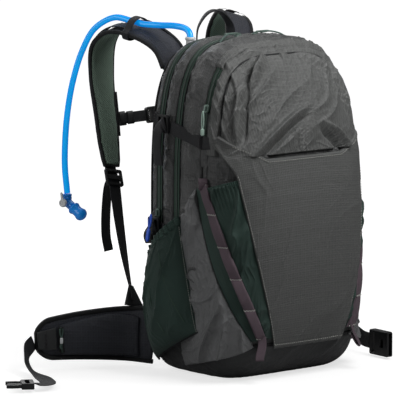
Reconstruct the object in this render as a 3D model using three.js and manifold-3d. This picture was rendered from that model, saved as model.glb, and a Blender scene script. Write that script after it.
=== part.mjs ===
// A hydration daypack standing on its base: a padded back with shoulder straps and hip wings,
// an arched body in three zipped bands, an outer overflow pocket, two stretch bottle pockets,
// and a drinking reservoir whose tube comes out at the top and ends in a shut-off and bite valve.
//
// Millimetres. +Z is up, +Y is towards the wearer, -Y is the outer front, +X is the right side
// when looking at the front. The origin is on the floor, in the middle of the flat base.
import * as THREE from 'three';
import { LoftGeometry } from 'three/addons/geometries/LoftGeometry.js';
import { mergeVertices } from 'three/addons/utils/BufferGeometryUtils.js';
import Module from 'manifold-3d';

// ---- driving dimensions ------------------------------------------------------------------

const HALF_WIDTH = 134;
const MIDDLE = 200;           // height of the widest line of the arch
const ARCH_RISE = 289;        // from the middle line to the top of the arch
const BASE_DROP = 206;        // from the middle line to where the base would close
const BACK = 70;              // the flat back of the body
const REAR_DEPTH = 95;        // rounding depth towards the back
const FRONT_DEPTH = 126;      // depth of the fullest part of the front
const FULLEST = 150;          // height of the fullest part of the front
const FRONT_TAPER = 24;       // depth lost at TAPER_SPAN above or below it
const TAPER_SPAN = 250;
const ARCH_POWER = 4;         // squareness of the arch
const BASE_POWER = 7;         // squareness of the bottom corners
const EDGE_POWER = 5;         // squareness of the edge between the sides and the front

const GAP = 0.4;              // between sewn neighbours
const FABRIC = 2.6;           // lined and padded panels
const LIFT = 3;               // an outer layer stands this far off the body
const WEBBING = 1.8;
const STRAP_WIDTH = 20;
const CORD = 3;

const ARCH_START = -47;       // degrees below the middle line where the arched bands end
const ZIP_HALF = 6.6;
const RESERVOIR_ZIP = 46;     // the y of each zip
const MAIN_ZIP = 6;
const STASH_ZIP = -54;
const STASH_ZIP_HALF = 5;
const STASH_FLOOR = 330;      // lower edge of the stash panel
const BASE_WALL = 54;         // height of the base's turned-up wall

const PAD_WIDTH = 50;
const CHEST_WIDTH = 39;         // of a shoulder strap where it narrows down the chest
const PAD_THICK = 12;
const TUBE_RADIUS = 4.75;
const PORT = new THREE.Vector3(-63, 61, 478);
const PORT_BUSH = 6.3;        // outer radius of the tube's exit bush
const GRAB_SPREAD = 34;
const GRAB_FOOT = 478;
const GRAB_TOP = 524;

// ---- solids ------------------------------------------------------------------------------

const wasm = await Module();
wasm.setup();

const pack = new THREE.Group();

const vec = (x, y, z) => new THREE.Vector3(x, y, z);
const radians = THREE.MathUtils.degToRad;
const lerp = THREE.MathUtils.lerp;

// Shared corners only, no collapsed triangles, and every face pointing out.
function closed(geometry) {
  const bare = new THREE.BufferGeometry();
  bare.setAttribute('position', geometry.getAttribute('position').clone());
  const count = geometry.getAttribute('position').count;
  bare.setIndex(geometry.index ? geometry.index.clone() : [...Array(count).keys()]);
  const merged = mergeVertices(bare, 1e-3);
  const at = merged.getAttribute('position');
  const kept = [];
  let volume = 0;
  for (let i = 0; i < merged.index.count; i += 3) {
    const [a, b, c] = [0, 1, 2].map((k) => merged.index.getX(i + k));
    if (a === b || b === c || c === a) continue;
    kept.push(a, b, c);
    const [p, q, r] = [a, b, c].map((k) => vec().fromBufferAttribute(at, k));
    volume += p.dot(q.cross(r));
  }
  if (volume < 0) kept.reverse();
  merged.setIndex(kept);
  merged.computeVertexNormals();
  return merged;
}

function toSolid(geometry) {
  const bare = closed(geometry);
  const mesh = new wasm.Mesh({
    numProp: 3,
    vertProperties: new Float32Array(bare.getAttribute('position').array),
    triVerts: new Uint32Array(bare.index.array),
  });
  return new wasm.Manifold(mesh);
}

function fromSolid(solid) {
  const mesh = solid.getMesh();
  const geometry = new THREE.BufferGeometry();
  geometry.setAttribute('position', new THREE.BufferAttribute(mesh.vertProperties, 3));
  geometry.setIndex(new THREE.BufferAttribute(mesh.triVerts, 1));
  return geometry;
}

const joined = (first, ...others) =>
  fromSolid(others.reduce((sum, next) => sum.add(toSolid(next)), toSolid(first)));
const cutAway = (first, ...others) =>
  fromSolid(others.reduce((rest, next) => rest.subtract(toSolid(next)), toSolid(first)));

function piece(name, geometry, look, parent = pack) {
  const mesh = new THREE.Mesh(closed(geometry), new THREE.MeshStandardMaterial(look));
  mesh.name = name;
  parent.add(mesh);
  return mesh;
}

// A skin of cloth between two offsets, over a grid of surface places (s, t, offset).
function sheet(place, columns, rows, inner, outer, loop = false) {
  const positions = [];
  for (const offset of [inner, outer]) {
    for (let j = 0; j <= rows; j++) {
      for (let i = 0; i <= columns; i++) {
        positions.push(...place(i / columns, j / rows, offset).toArray());
      }
    }
  }
  const layer = (columns + 1) * (rows + 1);
  const at = (k, i, j) => k * layer + j * (columns + 1) + i;
  const index = [];
  const quad = (a, b, c, d) => index.push(a, b, c, a, c, d);
  for (let j = 0; j < rows; j++) {
    for (let i = 0; i < columns; i++) {
      quad(at(1, i, j), at(1, i + 1, j), at(1, i + 1, j + 1), at(1, i, j + 1));
      quad(at(0, i, j), at(0, i, j + 1), at(0, i + 1, j + 1), at(0, i + 1, j));
    }
    if (!loop) {
      quad(at(0, 0, j), at(1, 0, j), at(1, 0, j + 1), at(0, 0, j + 1));
      quad(at(0, columns, j), at(0, columns, j + 1), at(1, columns, j + 1), at(1, columns, j));
    }
  }
  for (let i = 0; i < columns; i++) {
    quad(at(0, i, 0), at(0, i + 1, 0), at(1, i + 1, 0), at(1, i, 0));
    quad(at(0, i, rows), at(1, i, rows), at(1, i + 1, rows), at(0, i + 1, rows));
  }
  const geometry = new THREE.BufferGeometry();
  geometry.setAttribute('position', new THREE.Float32BufferAttribute(positions, 3));
  geometry.setIndex(index);
  return geometry;
}

// A flat shape in the XZ plane, thickened along +Y from y = 0 and rounded at its rim.
function plate(shape, thick, rim = 0, segments = 3) {
  const geometry = new THREE.ExtrudeGeometry(shape, {
    depth: thick - 2 * rim,
    bevelEnabled: rim > 0,
    bevelThickness: rim,
    bevelSize: rim,
    bevelOffset: -rim,
    bevelSegments: 1,
    curveSegments: segments,
  });
  geometry.translate(0, 0, rim);
  geometry.rotateX(Math.PI / 2);
  geometry.translate(0, thick, 0);
  return geometry;
}

function roundedRectangle(width, height, radius, Kind = THREE.Shape) {
  const [x, y] = [width / 2, height / 2];
  const shape = new Kind();
  shape.moveTo(-x + radius, -y);
  shape.lineTo(x - radius, -y);
  shape.absarc(x - radius, -y + radius, radius, -Math.PI / 2, 0);
  shape.lineTo(x, y - radius);
  shape.absarc(x - radius, y - radius, radius, 0, Math.PI / 2);
  shape.lineTo(-x + radius, y);
  shape.absarc(-x + radius, y - radius, radius, Math.PI / 2, Math.PI);
  shape.lineTo(-x, -y + radius);
  shape.absarc(-x + radius, -y + radius, radius, Math.PI, Math.PI * 1.5);
  return shape;
}

function hole(x, z, width, height) {
  const path = new THREE.Path();
  path.moveTo(x - width / 2, z - height / 2);
  path.lineTo(x - width / 2, z + height / 2);
  path.lineTo(x + width / 2, z + height / 2);
  path.lineTo(x + width / 2, z - height / 2);
  path.closePath();
  return path;
}

// A strap swept along a curve. Its section is a rounded oblong that lies across "side(u)".
function strap(curve, steps, side, width, thick, sectionPoints = 4) {
  const sections = [];
  for (let i = 0; i <= steps; i++) {
    const u = i / steps;
    const centre = curve.getPointAt(u);
    const along = curve.getTangentAt(u);
    const across = side(u).clone().addScaledVector(along, -side(u).dot(along)).normalize();
    const normal = along.clone().cross(across);
    const ring = [];
    for (let k = 0; k < sectionPoints; k++) {
      const angle = ((k + 0.5) / sectionPoints) * 2 * Math.PI;
      const squared = (value) => Math.sign(value) * Math.abs(value) ** (sectionPoints > 4 ? 0.5 : 0);
      ring.push(centre.clone()
        .addScaledVector(across, (squared(Math.cos(angle)) * width(u)) / 2)
        .addScaledVector(normal, (squared(Math.sin(angle)) * thick(u)) / 2));
    }
    sections.push(ring);
  }
  return new LoftGeometry(sections, { capStart: true, capEnd: true });
}

function roundCord(curve, radius, steps, sides = 8) {
  const ring = new THREE.Shape();
  ring.absarc(0, 0, radius, 0, 2 * Math.PI);
  return new THREE.ExtrudeGeometry(ring, {
    extrudePath: curve, steps, curveSegments: sides / 2, bevelEnabled: false,
  });
}

const through = (...points) => new THREE.CatmullRomCurve3(points, false, 'centripetal');

// A lathe-turned solid along +Z from pairs of (radius, height) that start and end on the axis.
function turned(pairs, sides = 16) {
  const points = pairs.map(([radius, height]) => new THREE.Vector2(radius, height));
  return new THREE.LatheGeometry(points, sides).rotateX(Math.PI / 2);
}

// ---- the body's surface --------------------------------------------------------------------

const frontDepth = (z) => FRONT_DEPTH - FRONT_TAPER * ((z - FULLEST) / TAPER_SPAN) ** 2;

function isInside(point, grow) {
  const up = point.z - MIDDLE;
  const power = up > 0 ? ARCH_POWER : BASE_POWER;
  const tall = (up > 0 ? ARCH_RISE : BASE_DROP) + grow;
  const deep = (point.y > 0 ? REAR_DEPTH : frontDepth(point.z)) + grow;
  const ring = Math.abs(point.x / (HALF_WIDTH + grow)) ** power + Math.abs(up / tall) ** power;
  return ring ** (EDGE_POWER / power) + Math.abs(point.y / deep) ** EDGE_POWER < 1;
}

const isBoxed = (point, grow) =>
  point.y < BACK + grow && point.z > -grow && isInside(point, grow);

// Where a ray from inside meets the body's surface, moved out by "grow".
function reach(origin, direction, grow = 0, test = isInside) {
  const unit = direction.clone().normalize();
  let [near, far] = [0, 600];
  for (let i = 0; i < 40; i++) {
    const middle = (near + far) / 2;
    if (test(origin.clone().addScaledVector(unit, middle), grow)) near = middle;
    else far = middle;
  }
  return origin.clone().addScaledVector(unit, near);
}

// Round the arch at one y: 0 degrees is the right side, 90 the top, 180 the left side.
function onArch(degrees, y, grow = 0) {
  const angle = radians(degrees);
  return reach(vec(0, y, MIDDLE), vec(Math.cos(angle), 0, Math.sin(angle)), grow);
}

// Round the front at one height: 0 degrees is straight ahead, positive is to the right.
function onFront(degrees, z, grow = 0) {
  const angle = radians(degrees);
  return reach(vec(0, 0, z), vec(Math.sin(angle), -Math.cos(angle), 0), grow);
}

// On one side of the body, -1 left or 1 right.
const onSide = (hand, y, z, grow = 0) => reach(vec(0, y, z), vec(hand, 0, 0), grow);

// ---- looks -----------------------------------------------------------------------------------

const cloth = (color) => ({ color, roughness: 0.85, metalness: 0 });
const RIPSTOP = cloth(0x4c4d4b);
const SIDE_CLOTH = cloth(0x393a3a);
const BASE_CLOTH = cloth(0x26282a);
const GREEN_TAPE = cloth(0x37493f);
const GREEN_STRETCH = cloth(0x2d3d37);
const GREEN_MESH = cloth(0x56645a);
const DARK_PAD = cloth(0x1c2024);
const WEB = cloth(0x111315);
const MAUVE_WEB = cloth(0x574a54);
const BLACK_PLASTIC = { color: 0x0c0d0e, roughness: 0.35, metalness: 0 };
const GREY_PLASTIC = { color: 0x8f9493, roughness: 0.4, metalness: 0 };
const BLUE_PLASTIC = { color: 0x0f67c8, roughness: 0.3, metalness: 0 };
const SLIDER_METAL = { color: 0x6d7d74, roughness: 0.4, metalness: 0.6 };
const CLEAR_BLUE = { color: 0x1aa0e8, roughness: 0.2, metalness: 0 };

// ---- back panel and frame sheet ---------------------------------------------------------------

function archOutline(halfWidth, bottom, top, corner) {
  const shape = new THREE.Shape();
  shape.moveTo(-halfWidth + corner, bottom);
  shape.lineTo(halfWidth - corner, bottom);
  shape.absarc(halfWidth - corner, bottom + corner, corner, -Math.PI / 2, 0);
  shape.lineTo(halfWidth, top - halfWidth);
  shape.bezierCurveTo(halfWidth, top - halfWidth * 0.3, halfWidth * 0.7, top, 0, top);
  shape.bezierCurveTo(-halfWidth * 0.7, top, -halfWidth, top - halfWidth * 0.3, -halfWidth, top - halfWidth);
  shape.lineTo(-halfWidth, bottom + corner);
  shape.absarc(-halfWidth + corner, bottom + corner, corner, Math.PI, Math.PI * 1.5);
  return shape;
}

function framePanel() {
  const thick = 2;
  return plate(archOutline(118, 12, 462, 14), thick, 0, 5).translate(0, BACK + GAP, 0);
}

function backPanel() {
  const start = BACK + 3;
  const base = plate(archOutline(107, 8, 452, 14), 3.5, 0, 5).translate(0, start, 0);
  const pods = [];
  const podWidth = 84;
  for (const [z, height] of [[352, 90], [248, 96], [144, 90]]) {
    for (const hand of [-1, 1]) {
      const pod = plate(roundedRectangle(podWidth, height, 16), 9, 3, 2);
      pods.push(pod.translate(hand * 53, start + 2, z));
    }
  }
  const lumbar = plate(roundedRectangle(196, 72, 20), 10, 3, 2).translate(0, start + 2, 48);
  return joined(base, ...pods, lumbar);
}

piece('framesheet', framePanel(), BLACK_PLASTIC);
piece('back_panel', backPanel(), cloth(0x2a2e2f));

// ---- arched bands, zips and panels ---------------------------------------------------------------

function archBand(from, to, start, inner, outer, rows, columns = 26) {
  const place = (s, t, grow) => onArch(lerp(start, 180 - start, s), lerp(from, to, t), grow);
  return sheet(place, columns, rows, inner, outer);
}

function rearBand() {
  const band = archBand(BACK - 0.6, RESERVOIR_ZIP + ZIP_HALF + GAP, ARCH_START, -FABRIC, 0, 2);
  const exit = turned([[0, -30], [PORT_BUSH + GAP, -30], [PORT_BUSH + GAP, 30], [0, 30]]);
  return cutAway(band, exit.translate(PORT.x, PORT.y, PORT.z));
}

piece('rear_gusset', rearBand(), SIDE_CLOTH);
piece('zip_reservoir',
  archBand(RESERVOIR_ZIP + ZIP_HALF, RESERVOIR_ZIP - ZIP_HALF, ARCH_START, -1, 0.6, 1), GREEN_TAPE);
piece('middle_gusset',
  archBand(RESERVOIR_ZIP - ZIP_HALF - GAP, MAIN_ZIP + ZIP_HALF + GAP, ARCH_START, -FABRIC, 0, 1),
  SIDE_CLOTH);
piece('zip_main', archBand(MAIN_ZIP + ZIP_HALF, MAIN_ZIP - ZIP_HALF, ARCH_START, -1, 0.6, 1), GREEN_TAPE);
piece('front_gusset',
  archBand(MAIN_ZIP - ZIP_HALF - GAP, STASH_ZIP + STASH_ZIP_HALF + GAP, ARCH_START, -FABRIC, 0, 2),
  SIDE_CLOTH);
piece('zip_stash',
  archBand(STASH_ZIP + STASH_ZIP_HALF, STASH_ZIP - STASH_ZIP_HALF, 46.5, -1, 0.6, 1, 16), GREEN_TAPE);

function stashPanel() {
  const start = STASH_ZIP - STASH_ZIP_HALF - GAP;
  const origin = vec(0, start, STASH_FLOOR);
  const place = (s, t, grow) => {
    const around = Math.PI * s;
    const forward = (Math.PI / 2) * t;
    return reach(origin, vec(
      Math.cos(around) * Math.cos(forward),
      -Math.sin(forward),
      Math.sin(around) * Math.cos(forward),
    ), grow);
  };
  return sheet(place, 20, 8, -FABRIC, 0);
}
piece('stash_panel', stashPanel(), RIPSTOP);

function lowerFront() {
  const edge = 68.4;
  const place = (s, t, grow) => onFront(lerp(-edge, edge, s), lerp(BASE_WALL + 2, STASH_FLOOR - 3, t), grow);
  return sheet(place, 18, 6, -FABRIC, 0);
}
piece('lower_front', lowerFront(), SIDE_CLOTH);

function basePanel() {
  const origin = vec(0, 0, BASE_WALL);
  const place = (s, t, grow) => {
    const around = 2 * Math.PI * s;
    const down = (Math.PI / 2) * t;
    return reach(origin, vec(
      Math.cos(around) * Math.cos(down),
      Math.sin(around) * Math.cos(down),
      -Math.sin(down),
    ), grow, isBoxed);
  };
  return sheet(place, 28, 7, -3, 0, true);
}
piece('base_panel', basePanel(), BASE_CLOTH);

// ---- overflow pocket -------------------------------------------------------------------------

const OVERFLOW_BOTTOM = 46;
const OVERFLOW_TOP = 326;
const OVERFLOW_CORNER = 362;
const OVERFLOW_RIGHT = 5.5;    // degrees that the right edge reaches further round than the left one
const CHAIN_LOW = 62;
const CHAIN_HIGH = 290;
const CHAIN_HALF_ANGLE = 3.1;

// The angle of the overflow panel's edge at a height. The edge is straight, and flares at the top corner.
function overflowEdge(hand, z) {
  const flare = 11 * (Math.max(0, z - 300) / 50) ** 1.5;
  return 25.5 + 0.087 * (z - 52) + flare + (hand > 0 ? OVERFLOW_RIGHT : 0);
}

// The angle of a daisy chain at a height. The left gusset stands open, and the right one is drawn in.
function chainAngle(hand, z) {
  const open = 33.5 + 0.15 * (z - CHAIN_LOW);
  const drawnIn = overflowEdge(1, z) + 5.6 + 2.4 * (z - CHAIN_LOW) / (CHAIN_HIGH - CHAIN_LOW);
  return hand > 0 ? drawnIn : open;
}

function overflowPanel() {
  const place = (s, t, grow) => {
    const share = 2 * s - 1;
    const rise = Math.min(1, Math.max(0, Math.abs(share) - 0.56) / 0.36);
    const cut = Math.max(0, Math.abs(share) - 0.92) / 0.08;
    const top = lerp(OVERFLOW_TOP, OVERFLOW_CORNER, rise) - 12 * cut;
    const z = lerp(OVERFLOW_BOTTOM, top, t);
    return onFront(share * overflowEdge(share, Math.min(z, 350)), z, grow);
  };
  return sheet(place, 22, 11, LIFT + 1, LIFT + 3.4);
}

function overflowGusset(hand) {
  const place = (s, t, grow) => {
    const z = lerp(CHAIN_LOW, CHAIN_HIGH, t);
    const degrees = lerp(overflowEdge(hand, z) + 0.6, chainAngle(hand, z) - CHAIN_HALF_ANGLE - 0.6, s);
    return onFront(hand * degrees, z, grow);
  };
  return sheet(place, 4, 8, LIFT - 1, LIFT + 1);
}

function daisyChain(hand) {
  const place = (s, t, grow) => {
    const z = lerp(CHAIN_LOW, CHAIN_HIGH + 2, t);
    return onFront(hand * (chainAngle(hand, z) + lerp(-CHAIN_HALF_ANGLE, CHAIN_HALF_ANGLE, s)), z, grow);
  };
  return sheet(place, 1, 12, LIFT, LIFT + WEBBING);
}

piece('overflow_panel', overflowPanel(), RIPSTOP);
for (const [side, hand] of [['L', -1], ['R', 1]]) {
  piece(`overflow_gusset_${side}`, overflowGusset(hand), GREEN_STRETCH);
  piece(`daisy_chain_${side}`, daisyChain(hand), MAUVE_WEB);
}

// ---- bottle pockets, open at the top ------------------------------------------------------------

const POCKET_BULGE = 37;

function bottlePocket(hand) {
  const place = (s, t, grow) => {
    const y = lerp(60, lerp(-46, -5, t), s);
    const z = lerp(lerp(14, 70, s), lerp(164, 236, s), t);
    const fill = Math.sin(Math.PI * s) ** 0.8 * (Math.sin(Math.PI * (0.85 * t ** 0.65 + 0.02)) ** 0.6);
    return onSide(hand, y, z, grow + LIFT + POCKET_BULGE * fill);
  };
  return sheet(place, 10, 8, 0, 2);
}
for (const [side, hand] of [['L', -1], ['R', 1]]) {
  piece(`bottle_pocket_${side}`, bottlePocket(hand), GREEN_STRETCH);
}

// ---- compression straps and their ladder-locks ----------------------------------------------------

// A moulded frame with two slots, lying in the XZ plane and thickened along +Y.
function ladderLock(width = 27, height = 25, thick = 5) {
  const shape = roundedRectangle(width, height, 3);
  for (const z of [-height * 0.24, height * 0.24]) {
    shape.holes.push(hole(0, z, width - 7, 4.6));
  }
  return plate(shape, thick, 0.7, 2);
}

function compressionStrap(hand, path, steps) {
  const place = (s, t, grow) => {
    const [y, z] = path(t);
    return onSide(hand, y, z + (s - 0.5) * STRAP_WIDTH, grow);
  };
  return sheet(place, 1, steps, LIFT - 0.6, LIFT - 0.6 + WEBBING);
}

const UPPER_LOCK = { y: 32, z: 369 };
const LOWER_LOCK = { y: 50, z: 216 };
const upperPath = (t) => [lerp(64, -51, t), lerp(374, 348, t)];
const lowerPath = (t) => [lerp(66, 30, t), lerp(217, 211, t)];

function sideHardware(geometry, hand, y, z, lift, roll = 0) {
  const spot = onSide(hand, y, z, lift);
  return geometry.rotateY(roll).rotateZ(hand * Math.PI / 2).translate(spot.x, spot.y, spot.z);
}

for (const [side, hand] of [['L', -1], ['R', 1]]) {
  piece(`compression_strap_upper_${side}`, compressionStrap(hand, upperPath, 12), WEB);
  piece(`compression_strap_lower_${side}`, compressionStrap(hand, lowerPath, 3), WEB);
  for (const [level, spot] of [['upper', UPPER_LOCK], ['lower', LOWER_LOCK]]) {
    const lock = ladderLock().rotateY(Math.PI / 2).translate(0, -2.5, 0);
    const placed = sideHardware(lock, hand, spot.y, spot.z, LIFT + 5.4);
    piece(`ladder_lock_${level}_${side}`, placed, BLACK_PLASTIC);
  }
}

// ---- grab handle ---------------------------------------------------------------------------------

function grabHandle() {
  const y = BACK + 11;
  const loop = through(
    vec(-GRAB_SPREAD, y, GRAB_FOOT), vec(-GRAB_SPREAD + 3, y, GRAB_FOOT + 22),
    vec(-15, y, GRAB_TOP - 5), vec(0, y, GRAB_TOP), vec(15, y, GRAB_TOP - 5),
    vec(GRAB_SPREAD - 3, y, GRAB_FOOT + 22), vec(GRAB_SPREAD, y, GRAB_FOOT),
  );
  return strap(loop, 16, () => vec(0, 1, 0), () => STRAP_WIDTH - 2, () => 3);
}
piece('grab_handle', grabHandle(), WEB);

// ---- shoulder straps -------------------------------------------------------------------------------

const STRAP_PATHS = {
  L: [vec(-66, 90, 438), vec(-67, 111, 470), vec(-72, 162, 491), vec(-77, 214, 491), vec(-79, 245, 466),
    vec(-79, 250, 420), vec(-79, 240, 358), vec(-82, 228, 310), vec(-85, 219, 284)],
  R: [vec(66, 90, 438), vec(74, 108, 474), vec(92, 136, 499), vec(108, 172, 502), vec(115, 200, 478),
    vec(116, 212, 430), vec(112, 214, 370), vec(105, 208, 320), vec(100, 202, 284)],
};
const strapCurves = { L: through(...STRAP_PATHS.L), R: through(...STRAP_PATHS.R) };

function padWidth(u) {
  const shoulder = lerp(54, PAD_WIDTH, Math.min(1, 3 * u));
  const chest = lerp(shoulder, CHEST_WIDTH, Math.min(1, Math.max(0, (u - 0.5) / 0.4)));
  return chest * (u > 0.9 ? lerp(1, 0.8, (u - 0.9) * 10) : 1);
}

const WEB_FOOT = { L: vec(-131, 112, 94), R: vec(131, 112, 94) };

// A frame for hardware that lies on a strap: local X across it, local Z along it.
function frameOn(centre, along, across) {
  const group = new THREE.Group();
  const x = across.clone().addScaledVector(along, -across.dot(along)).normalize();
  const z = along.clone().normalize();
  group.setRotationFromMatrix(new THREE.Matrix4().makeBasis(x, z.clone().cross(x), z));
  group.position.copy(centre);
  pack.add(group);
  return group;
}

// Over the shoulder each strap leans, its outer edge low; down the chest it faces straight back.
const strapSide = {};
for (const [side, hand] of [['L', 1], ['R', -1]]) {
  strapSide[side] = (u) => vec(1, 0, hand * 0.3 * Math.sin(Math.PI * Math.min(1, u / 0.6)));
}

for (const side of ['L', 'R']) {
  const curve = strapCurves[side];
  const end = curve.getPointAt(1);
  const down = WEB_FOOT[side].clone().sub(end).normalize();
  const across = vec(1, 0, 0);
  piece(`shoulder_strap_${side}`,
    strap(curve, 26, strapSide[side], padWidth, (u) => PAD_THICK * (u > 0.94 ? 0.75 : 1), 12), DARK_PAD);

  const lockCentre = end.clone().addScaledVector(down, 20);
  piece(`strap_ladder_lock_${side}`, ladderLock(30, 27, 5).translate(0, -2.5, 0), BLACK_PLASTIC,
    frameOn(lockCentre, down, across));

  const webStart = end.clone().addScaledVector(down, 35);
  const webEnd = WEB_FOOT[side].clone();
  piece(`strap_webbing_${side}`,
    strap(through(webStart, webStart.clone().lerp(webEnd, 0.5), webEnd), 6, () => across,
      () => STRAP_WIDTH, () => WEBBING), WEB);
}

// A band round the left strap that holds the drinking tube on its outer face.
const KEEPER_AT = 0.28;

function tubeKeeper() {
  const height = PAD_THICK + 2 * TUBE_RADIUS + 6;
  const ring = roundedRectangle(PAD_WIDTH + 7, height + 2.6, 3);
  ring.holes.push(roundedRectangle(PAD_WIDTH + 4.4, height, 2, THREE.Path));
  const band = plate(ring, 14).translate(0, -7, 0).rotateX(-Math.PI / 2);
  return band.translate(0, PAD_THICK / 2 + 2 - height / 2, 0);
}
piece('tube_keeper', tubeKeeper(), WEB,
  frameOn(strapCurves.L.getPointAt(KEEPER_AT), strapCurves.L.getTangentAt(KEEPER_AT), strapSide.L(KEEPER_AT)));

// ---- sternum strap -----------------------------------------------------------------------------------

const BUCKLE = { width: 22, length: 26, thick: 8 };

// The pronged half of a side-release buckle, pointing along +Z from its webbing bar at z = 0.
function buckleMale({ width, length, thick }) {
  const half = width / 2;
  const shape = roundedRectangle(width, length * 0.42, 2);
  shape.holes.push(hole(0, 0, width - 7, length * 0.14));
  const body = plate(shape, thick, 0.6, 2);
  const top = length * 0.2;
  const parts = [body];
  for (const hand of [-1, 1]) {
    const prong = new THREE.Shape();
    prong.moveTo(hand * half * 0.55, top - 2);
    prong.lineTo(hand * half * 0.86, top - 2);
    prong.quadraticCurveTo(hand * half * 1.12, top + length * 0.28, hand * half * 0.9, top + length * 0.5);
    prong.lineTo(hand * half * 0.52, top + length * 0.5);
    prong.lineTo(hand * half * 0.7, top + length * 0.25);
    prong.closePath();
    parts.push(plate(prong, thick * 0.55, 0, 3).translate(0, thick * 0.22, 0));
  }
  const guide = plate(roundedRectangle(width * 0.14, length * 0.5, 0.8), thick * 0.4, 0, 2);
  parts.push(guide.translate(0, thick * 0.3, top + length * 0.2));
  return joined(...parts).translate(0, -thick / 2, length * 0.21);
}

// The socket half, pointing along +Z from its webbing bar at z = 0, with its mouth at the far end.
function buckleFemale({ width, length, thick }) {
  const outer = width * 1.12;
  const shape = roundedRectangle(outer, length, 3);
  shape.holes.push(hole(0, -length * 0.3, outer - 8, length * 0.16));
  const body = plate(shape, thick * 1.15, 0.8, 2);
  const mouth = plate(roundedRectangle(outer - 4, length * 0.6, 1), thick * 0.6, 0, 2);
  const window = plate(roundedRectangle(outer * 0.34, length * 0.2, 2), thick * 3, 0, 3);
  return cutAway(body,
    mouth.translate(0, thick * 0.28, length * 0.26),
    window.translate(0, -thick, length * 0.16)).translate(0, -thick * 0.57, length / 2);
}

const STERNUM_GAP = 5.8;       // between a shoulder strap's edge and the webbing hung beside it

// Where the sternum webbing hangs from each shoulder strap, and the way it lies.
const STERNUM = {
  L: { at: 0.81, way: vec(1, -0.18, 0.06), length: 44 },
  R: { at: 0.79, way: vec(-1, -0.1, -0.5), length: 38 },
};

for (const [side, hand] of [['L', 1], ['R', -1]]) {
  const curve = strapCurves[side];
  const { at, way, length } = STERNUM[side];
  const centre = curve.getPointAt(at);
  const tangent = curve.getTangentAt(at);
  const edge = vec(hand, 0, 0).addScaledVector(tangent, -hand * tangent.x).normalize();
  const start = centre.clone().addScaledVector(edge, padWidth(at) / 2 + STERNUM_GAP);
  const along = way.clone().normalize();
  const end = start.clone().addScaledVector(along, length);
  piece(`sternum_strap_${side}`,
    strap(through(start, start.clone().lerp(end, 0.5), end), 4, () => tangent, () => 17, () => 2.4), WEB);
  const holder = frameOn(end.clone().addScaledVector(along, 1), along, tangent);
  const name = side === 'L' ? 'sternum_buckle_female' : 'sternum_buckle_male';
  piece(name, side === 'L' ? buckleFemale(BUCKLE) : buckleMale(BUCKLE), BLACK_PLASTIC, holder);
}

// ---- hip wings, their webbing and buckle ----------------------------------------------------------------

const WING_PATHS = {
  L: [vec(-116, 81, 46), vec(-140, 116, 47), vec(-196, 150, 46), vec(-264, 176, 42)],
  R: [vec(116, 81, 46), vec(150, 112, 46), vec(192, 84, 44), vec(196, 16, 40)],
};
const wingHeight = (u) => lerp(84, 58, u ** 1.4);
const wingThick = (u) => lerp(13, 9, u);
const HIP_BUCKLE = { width: 34, length: 44, thick: 9 };
const UPRIGHT = vec(0, 0, 1);
// The left webbing twists down to lie flat on the floor, and the right one stays on edge.
const HIP_WEB = {
  L: { path: [vec(-269, 177, 40), vec(-286, 171, 29), vec(-301, 146, 12), vec(-318, 96, 6), vec(-341, 50, 6),
    vec(-356, 38, 7), vec(-368, 40, 8)], aim: vec(-0.83, 0.55, 0), twist: 1.6 },
  R: { path: [vec(196.5, 9, 38), vec(199, -12, 30), vec(199, -34, 22), vec(196, -52, 21)],
    aim: vec(-0.06, -1, 0), twist: 0 },
};

for (const side of ['L', 'R']) {
  const wing = through(...WING_PATHS[side]);
  piece(`hip_wing_${side}`, strap(wing, 14, () => UPRIGHT, wingHeight, wingThick, 12), DARK_PAD);

  const { path, aim, twist } = HIP_WEB[side];
  const web = through(...path);
  const across = (u) => UPRIGHT.clone().lerp(web.getTangentAt(u).cross(UPRIGHT), Math.min(1, twist * u));
  piece(`hip_webbing_${side}`, strap(web, 14, across, () => STRAP_WIDTH + 4, () => WEBBING), WEB);

  const tip = web.getPointAt(1).addScaledVector(aim.clone().normalize(), 5);
  const flat = aim.clone().cross(UPRIGHT).normalize();
  const holder = frameOn(tip, aim, twist > 0 ? flat : UPRIGHT);
  const name = side === 'L' ? 'hip_buckle_male' : 'hip_buckle_female';
  piece(name, side === 'L' ? buckleMale(HIP_BUCKLE) : buckleFemale(HIP_BUCKLE), BLACK_PLASTIC, holder);
}

// ---- reservoir, its sleeve and the tube inside --------------------------------------------------------------

const BAG = { width: 184, height: 330, thick: 26, y: 36, z: 250 };
const CAP_Z = 348;

function sleeve() {
  return plate(archOutline(120, 64, 310, 12), 1.4, 0, 4).translate(0, 4, 0);
}

function reservoirBag() {
  const bag = plate(roundedRectangle(BAG.width, BAG.height, 46), BAG.thick, 9, 5);
  const collar = turned([[0, 0], [45, 0], [45, 12], [37, 12], [37, 3], [0, 3]], 28).rotateX(Math.PI / 2);
  return joined(bag.translate(0, BAG.y - BAG.thick / 2, BAG.z),
    collar.translate(0, BAG.y - BAG.thick / 2 + 5, CAP_Z));
}

function reservoirCap() {
  const lid = turned([[0, -5], [36.5, -5], [36.5, 0.6], [43, 0.6], [43, 5], [0, 5]], 28).rotateX(Math.PI / 2);
  const grip = plate(roundedRectangle(62, 8, 3), 5, 1).translate(0, -9, 0);
  return joined(lid, grip).translate(0, BAG.y - BAG.thick / 2 - 7.6, CAP_Z);
}

const TUBE_PLANE = PORT.y;
const CONNECTOR = vec(0, BAG.y + BAG.thick / 2 + 0.5, 116);

function hoseConnector() {
  const stub = turned([[0, 0], [9, 0], [9, 3.6], [0, 3.6]]).rotateX(-Math.PI / 2);
  const barrel = turned([[0, -9], [6.5, -9], [6.5, 12], [0, 12]]).translate(0, TUBE_PLANE - CONNECTOR.y, 0);
  const neck = turned([[0, 2], [5, 2], [5, 9], [0, 9]]).rotateX(-Math.PI / 2);
  return joined(stub, neck, barrel).translate(CONNECTOR.x, CONNECTOR.y, CONNECTOR.z);
}

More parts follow.
